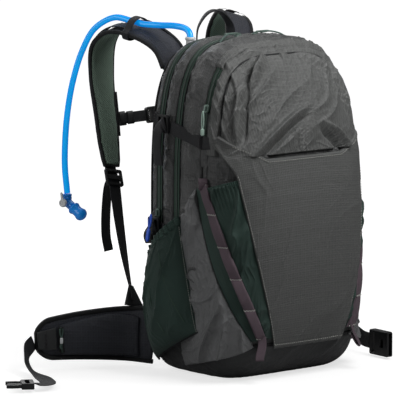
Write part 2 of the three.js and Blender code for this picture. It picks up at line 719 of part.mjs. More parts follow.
function tubePort() {
  const bore = TUBE_RADIUS + GAP;
  const bush = [[bore, -12], [PORT_BUSH, -12], [PORT_BUSH, 7], [7.8, 8], [7.8, 10.5], [6.6, 12], [bore, 12],
    [bore, -12]];
  return turned(bush, 20).translate(PORT.x, PORT.y, PORT.z);
}

piece('reservoir_sleeve', sleeve(), cloth(0x3a3f40));
piece('reservoir_bag', reservoirBag(), CLEAR_BLUE);
piece('reservoir_cap', reservoirCap(), BLUE_PLASTIC);
piece('hose_connector', hoseConnector(), BLUE_PLASTIC);
piece('tube_port', tubePort(), GREY_PLASTIC);

// ---- drinking tube, shut-off and bite valve -----------------------------------------------------------------

const ELBOW = vec(-110, 297, 222);
const VALVE_WAY = vec(0.23, -0.8, -0.55).normalize();
const LEVER_AXIS = VALVE_WAY.clone().cross(vec(0, 0, 1)).normalize();

// A place on the outer face of the left strap, clear of it by the tube's radius.
function overStrap(u) {
  const along = strapCurves.L.getTangentAt(u);
  const outward = strapSide.L(u).clone().cross(along).normalize();
  return strapCurves.L.getPointAt(u).addScaledVector(outward, PAD_THICK / 2 + TUBE_RADIUS + 2);
}

function drinkTube() {
  return roundCord(through(
    vec(0, TUBE_PLANE, CONNECTOR.z + 12.5), vec(0, TUBE_PLANE, 160), vec(-30, TUBE_PLANE, 215),
    vec(-58, TUBE_PLANE, 275), vec(PORT.x, PORT.y, 340), vec(PORT.x, PORT.y, 430),
    vec(PORT.x, PORT.y, PORT.z - 16), vec(PORT.x, PORT.y, PORT.z), vec(PORT.x, PORT.y, PORT.z + 13),
    vec(PORT.x, PORT.y + 4, PORT.z + 20), vec(-64, 73, 502), vec(-66, 94, 504), vec(-69, 124, 503),
    overStrap(KEEPER_AT - 0.03), overStrap(KEEPER_AT), overStrap(KEEPER_AT + 0.03),
    vec(-85, 213, 509), vec(-95, 248, 490), vec(-102, 270, 454), vec(-108, 284, 410), vec(-111, 292, 371),
    vec(-112, 298, 326), vec(-112, 300, 278),
    vec(ELBOW.x, ELBOW.y, ELBOW.z + 14),
  ), TUBE_RADIUS, 72);
}

function shutoffBody() {
  const upright = turned([[0, -3], [5.5, -7], [7, -3], [7, 13], [0, 13]]);
  const spout = turned([[0, 0], [6.6, 0], [6.6, 12], [4.6, 12], [4.6, 20], [0, 20]]);
  const aim = new THREE.Quaternion().setFromUnitVectors(vec(0, 0, 1), VALVE_WAY);
  spout.applyQuaternion(aim);
  const boss = turned([[0, 0], [5, 0], [5, 8.5], [0, 8.5]]);
  boss.applyQuaternion(new THREE.Quaternion().setFromUnitVectors(vec(0, 0, 1), LEVER_AXIS));
  return joined(upright, spout, boss).translate(ELBOW.x, ELBOW.y, ELBOW.z);
}

function lever() {
  const knob = turned([[0, 0], [6.5, 0], [6.5, 4], [5.5, 5], [0, 5]]);
  knob.applyQuaternion(new THREE.Quaternion().setFromUnitVectors(vec(0, 0, 1), LEVER_AXIS));
  const arm = new THREE.BoxGeometry(4.4, 3.4, 17).translate(0, 0, 8.5);
  const lean = VALVE_WAY.clone().multiplyScalar(-0.25).add(vec(0, 0, 1)).normalize();
  const flat = lean.clone().cross(LEVER_AXIS);
  arm.applyMatrix4(new THREE.Matrix4().makeBasis(flat, LEVER_AXIS.clone().negate(), lean));
  arm.translate(...LEVER_AXIS.clone().multiplyScalar(2.6).toArray());
  const offset = LEVER_AXIS.clone().multiplyScalar(8.9);
  return joined(knob, arm).translate(ELBOW.x + offset.x, ELBOW.y + offset.y, ELBOW.z);
}

function biteValve() {
  const inside = 5;
  const profile = [[inside, 0], [9, 0], [10, 3], [8.4, 7], [8.4, 12], [10, 18], [6, 25], [0, 26], [0, 10],
    [inside, 10], [inside, 0]];
  const valve = turned(profile, 18);
  valve.applyQuaternion(new THREE.Quaternion().setFromUnitVectors(vec(0, 0, 1), VALVE_WAY));
  const start = ELBOW.clone().addScaledVector(VALVE_WAY, 12.5);
  return valve.translate(start.x, start.y, start.z);
}

piece('drink_tube', drinkTube(), CLEAR_BLUE);
piece('shutoff_body', shutoffBody(), BLUE_PLASTIC);
piece('shutoff_lever', lever(), GREY_PLASTIC);
piece('bite_valve', biteValve(), BLUE_PLASTIC);

// ---- zip sliders and pulls --------------------------------------------------------------------------------------

// A slider lying in the XZ plane, its top facing -Y, with a bridge for the pull.
function sliderBody() {
  const wings = plate(roundedRectangle(9, 12, 3), 3.2, 0.5, 1);
  const bridge = plate(roundedRectangle(3, 8, 1), 3, 0, 1).translate(0, -2.6, 0);
  return joined(wings, bridge).translate(0, -3.2, 0);
}

// A moulded tab on a short cord, hanging along -Z from z = 0.
function pullTab(length) {
  const cord = plate(roundedRectangle(CORD, length * 0.45, 1.2), CORD, 0.6, 2);
  const tab = plate(roundedRectangle(6.5, length * 0.6, 2.5), 4.4, 1, 2);
  return joined(cord.translate(0, 0.7, -length * 0.22), tab.translate(0, 0, -length * 0.7));
}

const RESERVOIR_SLIDER_Z = 236;
const STASH_SLIDER_Z = 398;

const reservoirSpot = onSide(-1, RESERVOIR_ZIP, RESERVOIR_SLIDER_Z, 2);
piece('slider_reservoir',
  sliderBody().rotateZ(-Math.PI / 2).translate(reservoirSpot.x, reservoirSpot.y, reservoirSpot.z),
  SLIDER_METAL);
piece('pull_reservoir',
  pullTab(42).rotateZ(-Math.PI / 2).rotateY(radians(15))
    .translate(reservoirSpot.x - 13.5, reservoirSpot.y, reservoirSpot.z - 1), BLUE_PLASTIC);

const stashSpot = onSide(-1, STASH_ZIP, STASH_SLIDER_Z, 2);
const stashLean = radians(12);
piece('slider_stash',
  sliderBody().rotateZ(-Math.PI / 2).rotateY(stashLean).translate(stashSpot.x, stashSpot.y, stashSpot.z),
  SLIDER_METAL);
piece('pull_stash',
  pullTab(36).rotateZ(-Math.PI / 2).translate(stashSpot.x - 10.5, stashSpot.y, stashSpot.z - 3), GREEN_TAPE);

for (const [side, x] of [['L', -17], ['R', 17]]) {
  const spot = reach(vec(x, MAIN_ZIP, MIDDLE), vec(0, 0, 1), 2.2);
  const body = sliderBody().rotateY(Math.PI / 2).rotateX(-Math.PI / 2);
  const tag = plate(roundedRectangle(24, 5, 2), 3, 0.8, 1).rotateX(-Math.PI / 2);
  const offset = side === 'L' ? -13 : 13;
  piece(`slider_main_${side}`,
    joined(body, tag.translate(offset, 0, 7)).translate(spot.x, spot.y, spot.z), SLIDER_METAL);
}

export default pack;
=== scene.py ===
"""Looks of a hydration daypack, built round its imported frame.

The body is one arched surface, given by a formula. Every panel, zip and strap that lies on it is a
sheet of cloth over a grid of places on that surface. Padded pieces are puffed out by cloth simulation.
Shapes are worked out in millimetres and stored in metres. +Z is up, +Y is towards the wearer.
"""

import math

import bmesh
import bpy
import numpy as np
from mathutils import Matrix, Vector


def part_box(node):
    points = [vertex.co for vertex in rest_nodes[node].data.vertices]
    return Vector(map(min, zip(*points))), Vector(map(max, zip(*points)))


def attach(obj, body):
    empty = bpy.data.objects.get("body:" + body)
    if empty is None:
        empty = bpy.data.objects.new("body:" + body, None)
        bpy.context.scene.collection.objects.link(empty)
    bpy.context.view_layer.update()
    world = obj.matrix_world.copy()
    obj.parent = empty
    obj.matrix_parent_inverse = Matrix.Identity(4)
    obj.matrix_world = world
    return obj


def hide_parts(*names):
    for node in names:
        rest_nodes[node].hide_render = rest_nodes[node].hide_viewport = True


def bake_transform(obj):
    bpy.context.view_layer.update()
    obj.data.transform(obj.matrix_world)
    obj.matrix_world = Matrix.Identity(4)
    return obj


MM = 0.001
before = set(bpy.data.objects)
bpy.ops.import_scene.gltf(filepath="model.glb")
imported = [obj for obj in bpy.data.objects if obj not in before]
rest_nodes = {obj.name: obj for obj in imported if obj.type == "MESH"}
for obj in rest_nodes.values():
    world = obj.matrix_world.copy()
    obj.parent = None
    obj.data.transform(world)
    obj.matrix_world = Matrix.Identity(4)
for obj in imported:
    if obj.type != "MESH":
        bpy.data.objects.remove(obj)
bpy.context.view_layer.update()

# ---- sizes from the frame ----------------------------------------------------------------------


def extent(node):
    """Lowest and highest corner of a CAD node, in millimetres."""
    low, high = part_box(node)
    return np.array(low) / MM, np.array(high) / MM


def middle_of(node):
    low, high = extent(node)
    return (low + high) / 2


HALF_WIDTH = round(extent("middle_gusset")[1][0])
MIDDLE = 200                                        # height of the widest line of the arch
ARCH_RISE = round(extent("middle_gusset")[1][2]) - MIDDLE
BASE_DROP = 206
BACK = round(extent("framesheet")[0][1])
REAR_DEPTH = 95
FRONT_DEPTH = round(-extent("lower_front")[0][1])
FULLEST, FRONT_TAPER, TAPER_SPAN = 150, 24, 250
ARCH_POWER, BASE_POWER, EDGE_POWER = 4, 7, 5

FABRIC = 2.6
LIFT = 3                                            # an outer layer stands this far off the body
WEBBING = 1.8
STRAP_WIDTH = 20
ARCH_START = -47                                    # degrees below the middle line where the bands end

RESERVOIR_ZIP = middle_of("zip_reservoir")[1]
MAIN_ZIP = middle_of("zip_main")[1]
STASH_ZIP = middle_of("zip_stash")[1]
ZIP_HALF = RESERVOIR_ZIP - extent("zip_reservoir")[0][1]
STASH_ZIP_HALF = STASH_ZIP - extent("zip_stash")[0][1]
STASH_FLOOR = round(extent("stash_panel")[0][2])
BASE_WALL = round(extent("base_panel")[1][2])
PORT = middle_of("tube_port")
TUBE_RADIUS = 4.75
PAD_WIDTH, CHEST_WIDTH, PAD_THICK = 50, 39, 12
GAP = 0.4
HANDS = (("L", -1), ("R", 1))                        # the left side lies towards -X


# ---- numbers -----------------------------------------------------------------------------------


def vec(x, y, z):
    return np.stack(np.broadcast_arrays(x, y, z), -1).astype(float)


def lerp(a, b, t):
    return a + (b - a) * t


def unit(v):
    return v / np.maximum(np.linalg.norm(v, axis=-1, keepdims=True), 1e-9)


def noise(a, b, seed=0):
    """Smooth seeded noise between -1 and 1 that changes over a distance of about 1."""
    a, b = np.broadcast_arrays(np.asarray(a, float), np.asarray(b, float))
    cell_a, cell_b = np.floor(a), np.floor(b)
    share_a, share_b = a - cell_a, b - cell_b
    share_a = share_a * share_a * (3 - 2 * share_a)
    share_b = share_b * share_b * (3 - 2 * share_b)

    def knot(i, j):
        value = np.sin(i * 127.1 + j * 311.7 + seed * 74.7) * 43758.5453
        return 2 * (value - np.floor(value)) - 1

    low = lerp(knot(cell_a, cell_b), knot(cell_a + 1, cell_b), share_a)
    high = lerp(knot(cell_a, cell_b + 1), knot(cell_a + 1, cell_b + 1), share_a)
    return lerp(low, high, share_b)


def creases(a, b, size, seed, lean=0.0, sharp=2.5):
    """Ridges from 0 to 1 that run along a, turned by lean in degrees. They wander and fade in and out."""
    turn = math.radians(lean)
    along = a * math.cos(turn) + b * math.sin(turn)
    over = b * math.cos(turn) - a * math.sin(turn)
    over = over + size * 0.9 * noise(along / (2.4 * size), over / (2.4 * size), seed)
    ridge = 1 - np.abs(noise(along / (5 * size), over / size, seed + 1)) * 1.6
    fade = 0.55 + 0.45 * noise(along / (2.5 * size), over / (2.5 * size), seed + 2)
    return np.clip(ridge, 0, 1) ** sharp * fade


def fold(x, z, start, end, width, height):
    """One deep fold from start to end: a ridge with a valley beside it, dying away at both ends."""
    start, end = np.array(start, float), np.array(end, float)
    run = end - start
    length = np.linalg.norm(run)
    along = ((x - start[0]) * run[0] + (z - start[1]) * run[1]) / length
    off = ((x - start[0]) * run[1] - (z - start[1]) * run[0]) / length
    off = off + 3 * np.sin(along / length * math.pi)
    fade = np.exp(-(np.clip(np.abs(along - length / 2) / (length / 2), 0, None)) ** 4)
    return height * fade * (np.exp(-(off / width) ** 2) - 0.8 * np.exp(-((off - 1.5 * width) / width) ** 2))


# ---- the body's surface ------------------------------------------------------------------------


def is_inside(p, grow):
    up = p[..., 2] - MIDDLE
    power = np.where(up > 0, ARCH_POWER, BASE_POWER)
    tall = np.where(up > 0, ARCH_RISE, BASE_DROP) + grow
    front = FRONT_DEPTH - FRONT_TAPER * ((p[..., 2] - FULLEST) / TAPER_SPAN) ** 2
    deep = np.where(p[..., 1] > 0, REAR_DEPTH, front) + grow
    ring = np.abs(p[..., 0] / (HALF_WIDTH + grow)) ** power + np.abs(up / tall) ** power
    return ring ** (EDGE_POWER / power) + np.abs(p[..., 1] / deep) ** EDGE_POWER < 1


def is_boxed(p, grow):
    return (p[..., 1] < BACK + grow) & (p[..., 2] > -grow) & is_inside(p, grow)


def reach(origin, direction, grow=0.0, test=is_inside):
    """Where rays from inside meet the body's surface, moved out by grow."""
    direction = unit(direction)
    near = np.zeros(np.broadcast_shapes(direction.shape[:-1], np.shape(grow)))
    far = near + 600
    for _ in range(28):
        middle = (near + far) / 2
        within = test(origin + direction * middle[..., None], grow)
        near = np.where(within, middle, near)
        far = np.where(within, far, middle)
    return origin + direction * near[..., None]


def on_arch(degrees, y, grow=0.0):
    """Round the arch: 0 degrees is the right side, 90 the top, 180 the left side."""
    angle = np.radians(degrees)
    return reach(vec(0, y, MIDDLE), vec(np.cos(angle), 0, np.sin(angle)), grow)


def on_front(degrees, z, grow=0.0):
    """Round the front at one height: 0 degrees is straight ahead, positive is to the right."""
    angle = np.radians(degrees)
    return reach(vec(0, 0, z), vec(np.sin(angle), -np.cos(angle), 0), grow)


def on_side(hand, y, z, grow=0.0):
    return reach(vec(0, y, z), vec(hand, 0, 0), grow)


# ---- looks -------------------------------------------------------------------------------------


def shade(red, green, blue, gain=1.0):
    """A display colour from 0 to 255 as a linear colour."""
    return tuple((c / 255) ** 2.2 * gain for c in (red, green, blue)) + (1.0,)


def tinted(colour, gain):
    return tuple(min(1.0, c * gain) for c in colour[:3]) + (1.0,)


class Look:
    """A material being wired up, with short names for the nodes used here."""

    def __init__(self, name, **surface):
        self.material = bpy.data.materials.new(name)
        self.material.use_nodes = True
        self.tree = self.material.node_tree
        self.shader = self.tree.nodes["Principled BSDF"]
        place = self.node("TexCoord")
        self.spot = place.outputs["Object"]
        self.uv = self.node("SeparateXYZ", {0: place.outputs["UV"]}).outputs
        for key, value in surface.items():
            self.shader.inputs[key.replace("_", " ")].default_value = value

    def node(self, kind, inputs=None, **settings):
        made = self.tree.nodes.new("ShaderNode" + kind)
        for key, value in settings.items():
            setattr(made, key, value)
        for key, value in (inputs or {}).items():
            if isinstance(value, bpy.types.NodeSocket):
                self.tree.links.new(value, made.inputs[key])
            else:
                made.inputs[key].default_value = value
        return made

    def math(self, operation, *values):
        return self.node("Math", dict(enumerate(values)), operation=operation).outputs[0]

    def wave(self, place, pitch):
        """Smooth ridges from 0 to 1, one for each pitch in millimetres."""
        turned = self.math("MULTIPLY", place, 2 * math.pi / (pitch * MM))
        return self.math("MULTIPLY_ADD", self.math("SINE", turned), 0.5, 0.5)

    def mottle(self, size, detail=2.0, coordinates=None):
        """Cloudy noise from 0 to 1 with patches of a size in millimetres."""
        inputs = {"Vector": coordinates or self.spot, "Scale": 1 / (size * MM), "Detail": detail}
        return self.node("TexNoise", inputs).outputs["Fac"]

    def mix(self, share, low, high):
        blend = self.node("Mix", {0: share, 6: low, 7: high}, data_type="RGBA")
        return blend.outputs[2]

    def spread(self, value, low, high):
        """Value from 0 to 1 moved to lie between low and high."""
        return self.node("MapRange", {0: value, 3: low, 4: high}).outputs[0]

    def finish(self, colour, height, depth, roughness=None):
        self.tree.links.new(colour, self.shader.inputs["Base Color"])
        bump = self.node("Bump", {"Height": height, "Distance": depth * MM, "Strength": 1.0})
        self.tree.links.new(bump.outputs[0], self.shader.inputs["Normal"])
        if roughness is not None:
            self.tree.links.new(roughness, self.shader.inputs["Roughness"])
        return self.material


def woven(name, colour, thread=0.7, ripstop=0.0, rough=0.6, gloss=0.45, lighter=1.35, crumple=0.5):
    """Plain-woven cloth, with a raised square grid where it is ripstop. It is crumpled, in millimetres."""
    look = Look(name, Sheen_Weight=0.04, Sheen_Roughness=0.35, Specular_IOR_Level=gloss)
    u, v = look.uv[0], look.uv[1]
    height = look.math("MULTIPLY", look.wave(u, thread), look.wave(v, thread))
    cloudy = look.mottle(60, 4.0)
    dusty = look.mottle(7, 3.0)
    tone = look.spread(look.math("MULTIPLY_ADD", dusty, 0.35, cloudy), 0.3, 1.0)
    low = tinted(colour, 0.8)
    high = tinted(colour, 1.15)
    tint = look.mix(tone, low, high)
    if ripstop:
        rib = look.math("MAXIMUM", look.wave(u, ripstop), look.wave(v, ripstop))
        rib = look.math("POWER", rib, 14.0)
        height = look.math("MULTIPLY_ADD", rib, 1.6, height)
        pale = tinted(colour, lighter)
        squares = look.math("MULTIPLY", look.wave(u, 2 * ripstop), look.wave(v, 2 * ripstop))
        tint = look.mix(look.math("MULTIPLY", squares, 0.45), tint, tinted(colour, 0.55))
        tint = look.mix(look.math("MULTIPLY", rib, 0.8), tint, pale)
    ridge = look.math("ABSOLUTE", look.math("MULTIPLY_ADD", look.mottle(24, 2.5), 2.0, -1.0))
    crinkle = look.math("POWER", look.math("SUBTRACT", 1.0, look.math("MINIMUM", ridge, 1.0)), 5.0)
    height = look.math("MULTIPLY_ADD", crinkle, crumple / 0.2, height)
    return look.finish(tint, height, 0.2, look.spread(cloudy, rough - 0.1, rough + 0.12))


def knitted(name, colour, pitch=2.0, depth=0.4, rough=0.85, hole_shade=0.35):
    """A knitted mesh: rows of small holes set in a diamond pattern, with painted shade in the holes."""
    look = Look(name, Sheen_Weight=0.06, Sheen_Roughness=0.5, Specular_IOR_Level=0.3)
    plus = look.math("ADD", look.uv[0], look.uv[1])
    minus = look.math("SUBTRACT", look.uv[0], look.uv[1])
    holes = look.math("MULTIPLY", look.wave(plus, pitch), look.wave(minus, pitch))
    solid = look.math("SUBTRACT", 1.0, look.math("POWER", holes, 1.5))
    cloudy = look.mottle(45, 3.0)
    # The holes are painted darker than the knit, as painted shade in the holes; cloudy adds tone that
    # differs at random.
    low = tinted(colour, hole_shade)
    high = tinted(colour, 1.12)
    tone = look.math("MULTIPLY", solid, look.spread(cloudy, 0.55, 1.25))
    tint = look.mix(look.spread(tone, 0.0, 1.0), low, high)
    return look.finish(tint, solid, depth, look.spread(cloudy, rough - 0.08, rough + 0.08))


def ribbed(name, colour, pitch=1.7, rough=0.55, depth=0.3):
    """Webbing: lengthwise ribs crossed by fine picks, fuzzy and paler at its edges."""
    look = Look(name, Sheen_Weight=0.05, Sheen_Roughness=0.4, Specular_IOR_Level=0.35)
    rib = look.wave(look.uv[0], pitch)
    pick = look.wave(look.math("ADD", look.uv[1], look.math("MULTIPLY", rib, 0.0005)), 1.1)
    height = look.math("MULTIPLY_ADD", pick, 0.45, rib)
    worn = look.mottle(12, 4.0)
    low = tinted(colour, 0.7)
    high = tinted(colour, 1.35)
    # Painted shade and highlight: the grooves between the ribs are painted darker and their tops lighter,
    # mixed with patches of wear.
    tint = look.mix(look.spread(look.math("MULTIPLY_ADD", height, 0.3, worn), 0.1, 1.0), low, high)
    return look.finish(tint, height, depth, look.spread(worn, rough - 0.1, rough + 0.15))


def moulded(name, colour, rough=0.38, coat=0.0, grain=0.06):
    """Injection-moulded plastic: fine spark grain and faint handling marks."""
    look = Look(name, Coat_Weight=coat, Coat_Roughness=0.15)
    grains = look.mottle(0.7, 2.0)
    marks = look.mottle(14, 5.0)
    low = tinted(colour, 0.85)
    high = tinted(colour, 1.2)
    tint = look.mix(marks, low, high)
    return look.finish(tint, grains, grain, look.spread(marks, rough - 0.1, rough + 0.12))


def brushed(name, colour, rough=0.32):
    look = Look(name, Metallic=0.75)
    lines = look.mottle(0.9, 3.0)
    marks = look.mottle(6, 4.0)
    low = tinted(colour, 0.7)
    tint = look.mix(marks, low, colour)
    return look.finish(tint, lines, 0.05, look.spread(marks, rough - 0.1, rough + 0.15))


def silicone(name, core, edge, see_through=0.25, rough=0.16, glow=0.0):
    """Soft clear tubing: bright in the middle and deeper at its edges as seen, which is painted shade, with
    a painted glow that stands in for the light that comes through.
    """
    look = Look(name, Transmission_Weight=see_through, IOR=1.42, Coat_Weight=0.3, Emission_Strength=glow)
    # Painted shade: the colour deepens towards the edges by the angle they are seen at.
    facing = look.node("LayerWeight", {"Blend": 0.35}).outputs["Facing"]
    cloudy = look.mottle(25, 3.0)
    share = look.math("MULTIPLY_ADD", cloudy, 0.15, facing)
    tint = look.mix(share, core, edge)
    # Painted light: the surface glows in its own colour, standing in for the light that comes through clear
    # tubing.
    look.tree.links.new(tint, look.shader.inputs["Emission Color"])
    return look.finish(tint, cloudy, 0.05, look.spread(cloudy, rough - 0.05, rough + 0.1))


LOOKS = {
    "ripstop": woven("ripstop", shade(76, 77, 76), ripstop=3.4, rough=0.46, lighter=1.6, crumple=0.25),
    "shiny_ripstop": woven("shiny_ripstop", shade(76, 77, 76), ripstop=5.6, rough=0.34, lighter=1.7,
                           crumple=0.9),
    "side_cloth": woven("side_cloth", shade(58, 59, 59), thread=0.6, ripstop=4.2, rough=0.3, gloss=0.6,
                        lighter=1.5, crumple=1.3),
    "slack_cloth": woven("slack_cloth", shade(98, 99, 100), thread=0.6, rough=0.3, gloss=0.6,
                         crumple=1.6),
    "base_cloth": woven("base_cloth", shade(46, 47, 48), thread=0.9, rough=0.5, crumple=0.7),
    "zip_tape": ribbed("zip_tape", shade(48, 66, 57), pitch=2.4, rough=0.7, depth=0.2),
    "coil": moulded("coil", shade(40, 56, 49), rough=0.45),
    "hem": ribbed("hem", shade(44, 62, 56), pitch=3.0, rough=0.75, depth=0.5),
    "stretch": knitted("stretch", shade(43, 62, 56), pitch=2.2, rough=0.6),
    "pad": woven("pad", shade(44, 46, 53), thread=0.9, ripstop=4.0, rough=0.5, crumple=0.5),
    "air_mesh": knitted("air_mesh", shade(120, 140, 126), pitch=3.6, depth=0.9, hole_shade=0.3),
    "back_pad": knitted("back_pad", shade(50, 56, 56), pitch=3.6, depth=0.9, hole_shade=0.3),
    "webbing": ribbed("webbing", shade(26, 27, 30)),
    "binding": ribbed("binding", shade(20, 21, 23), pitch=1.2, rough=0.6),
    "daisy": ribbed("daisy", shade(82, 70, 77), pitch=1.5, rough=0.65),
    "sleeve": woven("sleeve", shade(60, 66, 66), ripstop=6.0, crumple=0.8),
    "thread": ribbed("thread", shade(165, 165, 160), pitch=0.5, depth=0.05),
    "dark_thread": ribbed("dark_thread", shade(40, 36, 40), pitch=0.5, depth=0.05),
    "black_plastic": moulded("black_plastic", shade(20, 21, 23), rough=0.42),
    "grey_plastic": moulded("grey_plastic", shade(205, 207, 209), rough=0.4),
    "blue_plastic": moulded("blue_plastic", shade(30, 140, 240), rough=0.3, coat=0.4),
    # The bite valve glows a little: painted light standing in for the light that comes through it.
    "blue_rubber": silicone("blue_rubber", shade(26, 146, 236), shade(12, 98, 196), 0.1, 0.3, glow=0.12),
    "pull_cord": ribbed("pull_cord", shade(158, 182, 170), pitch=0.9, depth=0.15),
    "dark_cord": ribbed("dark_cord", shade(66, 84, 78), pitch=0.9, depth=0.15),
    "pull_blue": moulded("pull_blue", shade(44, 92, 215), rough=0.35, coat=0.2),
    "slider_metal": brushed("slider_metal", shade(120, 138, 130)),
    # The film and the tube are painted deeper at their edges as seen; the tube's glow is painted light
    # standing in for the light that comes through it.
    "clear_blue": silicone("clear_blue", shade(26, 150, 230), shade(8, 90, 200)),
    "tube_blue": silicone("tube_blue", shade(20, 176, 240), shade(4, 100, 205), glow=0.36),
}


# ---- mesh tools --------------------------------------------------------------------------------


def lay_cloth(mesh, uv):
    """Gives every point of a mesh its place on the cloth, in millimetres."""
    corners = np.zeros(len(mesh.loops), int)
    mesh.loops.foreach_get("vertex_index", corners)
    layer = mesh.uv_layers.new(name="cloth")
    layer.data.foreach_set("uv", (np.asarray(uv)[corners] * MM).astype(np.float32).ravel())


def turn_outwards(mesh, join=None):
    """Turns a mesh's faces outwards, after joining points that are closer together than join."""
    shape = bmesh.new()
    shape.from_mesh(mesh)
    if join:
        bmesh.ops.remove_doubles(shape, verts=shape.verts, dist=join)
    bmesh.ops.recalc_face_normals(shape, faces=shape.faces)
    shape.to_mesh(mesh)
    shape.free()
    mesh.shade_smooth()


def add(name, points, faces, look, body="pack", stands_for=(), uv=None):
    """A closed mesh from points in millimetres. Its faces are turned outwards, and it rides on body."""
    mesh = bpy.data.meshes.new(name)
    mesh.from_pydata((np.asarray(points) * MM).tolist(), [], [list(face) for face in faces])
    if uv is not None:
        lay_cloth(mesh, uv)
    turn_outwards(mesh)
    made = bpy.data.objects.new(name, mesh)
    bpy.context.scene.collection.objects.link(made)
    mesh.materials.append(LOOKS[look])
    if stands_for:
        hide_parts(*stands_for)
    if body:
        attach(made, body)
    return made


def grid(rows, columns, start=0, wrap=False):
    """Quads over a grid of points kept row by row."""
    faces = []
    wide = columns if wrap else columns + 1
    for j in range(rows):
        for i in range(columns):
            here, right = start + j * wide + i, start + j * wide + (i + 1) % wide
            faces.append((here, right, right + wide, here + wide))
    return faces


def sheet(name, place, columns, rows, inner, outer, look, body="pack", stands_for=(), loop=False, rim=2.0,
          rumple=None):
    """A skin of cloth between two offsets over a grid of surface places, rounded at its rims.

    rumple(s, t, a, b) gives the height of its folds, where a and b are places on the cloth in millimetres.
    """
    s, t = np.meshgrid(np.linspace(0, 1, columns + 1), np.linspace(0, 1, rows + 1))
    flat = place(s, t, outer)
    a = np.zeros_like(s)
    b = np.zeros_like(s)
    a[:, 1:] = np.cumsum(np.linalg.norm(np.diff(flat, axis=1), axis=-1), axis=1)
    b[1:, :] = np.cumsum(np.linalg.norm(np.diff(flat, axis=0), axis=-1), axis=0)
    edge = np.minimum(b, b[-1:, :] - b)
    if not loop:
        edge = np.minimum(edge, np.minimum(a, a[:, -1:] - a))
    rounded = np.sqrt(1 - (1 - np.clip(edge / rim, 0, 1)) ** 2)
    middle = a[:, -1:] / 2
    lift = rumple(s, t, a - middle, b) if rumple else 0.0
    top = place(s, t, inner + (outer - inner + lift) * rounded)
    bottom = place(s, t, inner - 0.3)
    count = s.size
    rims = []
    for j in range(rows if not loop else 0):
        for i in (0, columns):
            low, high = j * (columns + 1) + i, (j + 1) * (columns + 1) + i
            rims.append((low, high, high + count, low + count))
    for i in range(columns):
        for j in (0, rows):
            left = j * (columns + 1) + i
            rims.append((left, left + 1, left + 1 + count, left + count))
    faces = grid(rows, columns) + grid(rows, columns, count) + rims
    points = np.concatenate([top.reshape(-1, 3), bottom.reshape(-1, 3)])
    uv = np.stack([(a - middle).ravel(), b.ravel()], -1)
    made = add(name, points, faces, look, body, stands_for, np.concatenate([uv, uv]))
    if loop:
        turn_outwards(made.data, join=0.02 * MM)
    return made


class Path:
    """A smooth path through a few points: a centripetal Catmull-Rom curve sampled evenly by length."""

    SAMPLES = 40                                     # between one point and the next

    def __init__(self, *knots, smooth=True):
        knots = [np.array(k, float) for k in knots]
        line = []
        if smooth:
            knots = [2 * knots[0] - knots[1]] + knots + [2 * knots[-1] - knots[-2]]
            for p0, p1, p2, p3 in zip(knots, knots[1:], knots[2:], knots[3:]):
                pairs = ((p0, p1), (p1, p2), (p2, p3))
                steps = [max(np.linalg.norm(q - p) ** 0.5, 1e-4) for p, q in pairs]
                rise = (p1 - p0) / steps[0] - (p2 - p0) / (steps[0] + steps[1]) + (p2 - p1) / steps[1]
                fall = (p2 - p1) / steps[1] - (p3 - p1) / (steps[1] + steps[2]) + (p3 - p2) / steps[2]
                rise, fall = rise * steps[1], fall * steps[1]
                for k in range(self.SAMPLES):
                    x = k / self.SAMPLES
                    line.append(p1 + rise * x + (3 * (p2 - p1) - 2 * rise - fall) * x * x
                                + (2 * (p1 - p2) + rise + fall) * x ** 3)
            line.append(knots[-2])
        else:
            line = knots
        self.line = np.array(line)
        steps = np.linalg.norm(np.diff(self.line, axis=0), axis=1)
        self.marks = np.concatenate([[0], np.cumsum(steps)])
        self.length = self.marks[-1]

    def at(self, u):
        spots = np.asarray(u) * self.length
        return np.stack([np.interp(spots, self.marks, self.line[:, k]) for k in range(3)], -1)

    def along(self, u):
        step = 0.5 / self.length
        u = np.asarray(u)
        return unit(self.at(np.minimum(u + step, 1)) - self.at(np.maximum(u - step, 0)))


def rounded_ring(width, thick, points=16, power=4):
    """A rounded oblong as pairs of (across, out)."""
    angle = np.arange(points) / points * 2 * math.pi + math.pi / points
    squash = 2 / power
    x = np.sign(np.cos(angle)) * np.abs(np.cos(angle)) ** squash
    y = np.sign(np.sin(angle)) * np.abs(np.sin(angle)) ** squash
    return np.stack([x * width / 2, y * thick / 2], -1)


def sweep(name, centres, across, rings, look, body="pack", stands_for=(), closed=False):
    """A solid swept through centres. Each ring of (across, out) pairs is set across the path."""
    centres = np.asarray(centres, float)
    ahead = np.roll(centres, -1, 0) - np.roll(centres, 1, 0)
    if not closed:
        ahead[0], ahead[-1] = centres[1] - centres[0], centres[-1] - centres[-2]
    ahead = unit(ahead)
    across = np.broadcast_to(across, centres.shape)
    across = unit(across - ahead * np.sum(across * ahead, -1, keepdims=True))
    out = np.cross(across, ahead)
    rings = np.broadcast_to(rings, (len(centres),) + np.shape(rings)[-2:])
    points = centres[:, None] + across[:, None] * rings[..., :1] + out[:, None] * rings[..., 1:]
    run = np.concatenate([[0], np.cumsum(np.linalg.norm(np.diff(centres, axis=0), axis=1))])
    count = rings.shape[1]
    faces = grid(len(centres) - 1, count, wrap=True)
    if closed:
        last = (len(centres) - 1) * count
        faces += [(last + i, last + (i + 1) % count, (i + 1) % count, i) for i in range(count)]
    else:
        faces += [tuple(range(count)), tuple(range((len(centres) - 1) * count, len(centres) * count))]
    run = np.broadcast_to(run[:, None], rings.shape[:2])
    uv = np.stack([rings[..., 0] + rings[..., 1] * 0.5, run], -1)
    return add(name, points.reshape(-1, 3), faces, look, body, stands_for, uv.reshape(-1, 2))


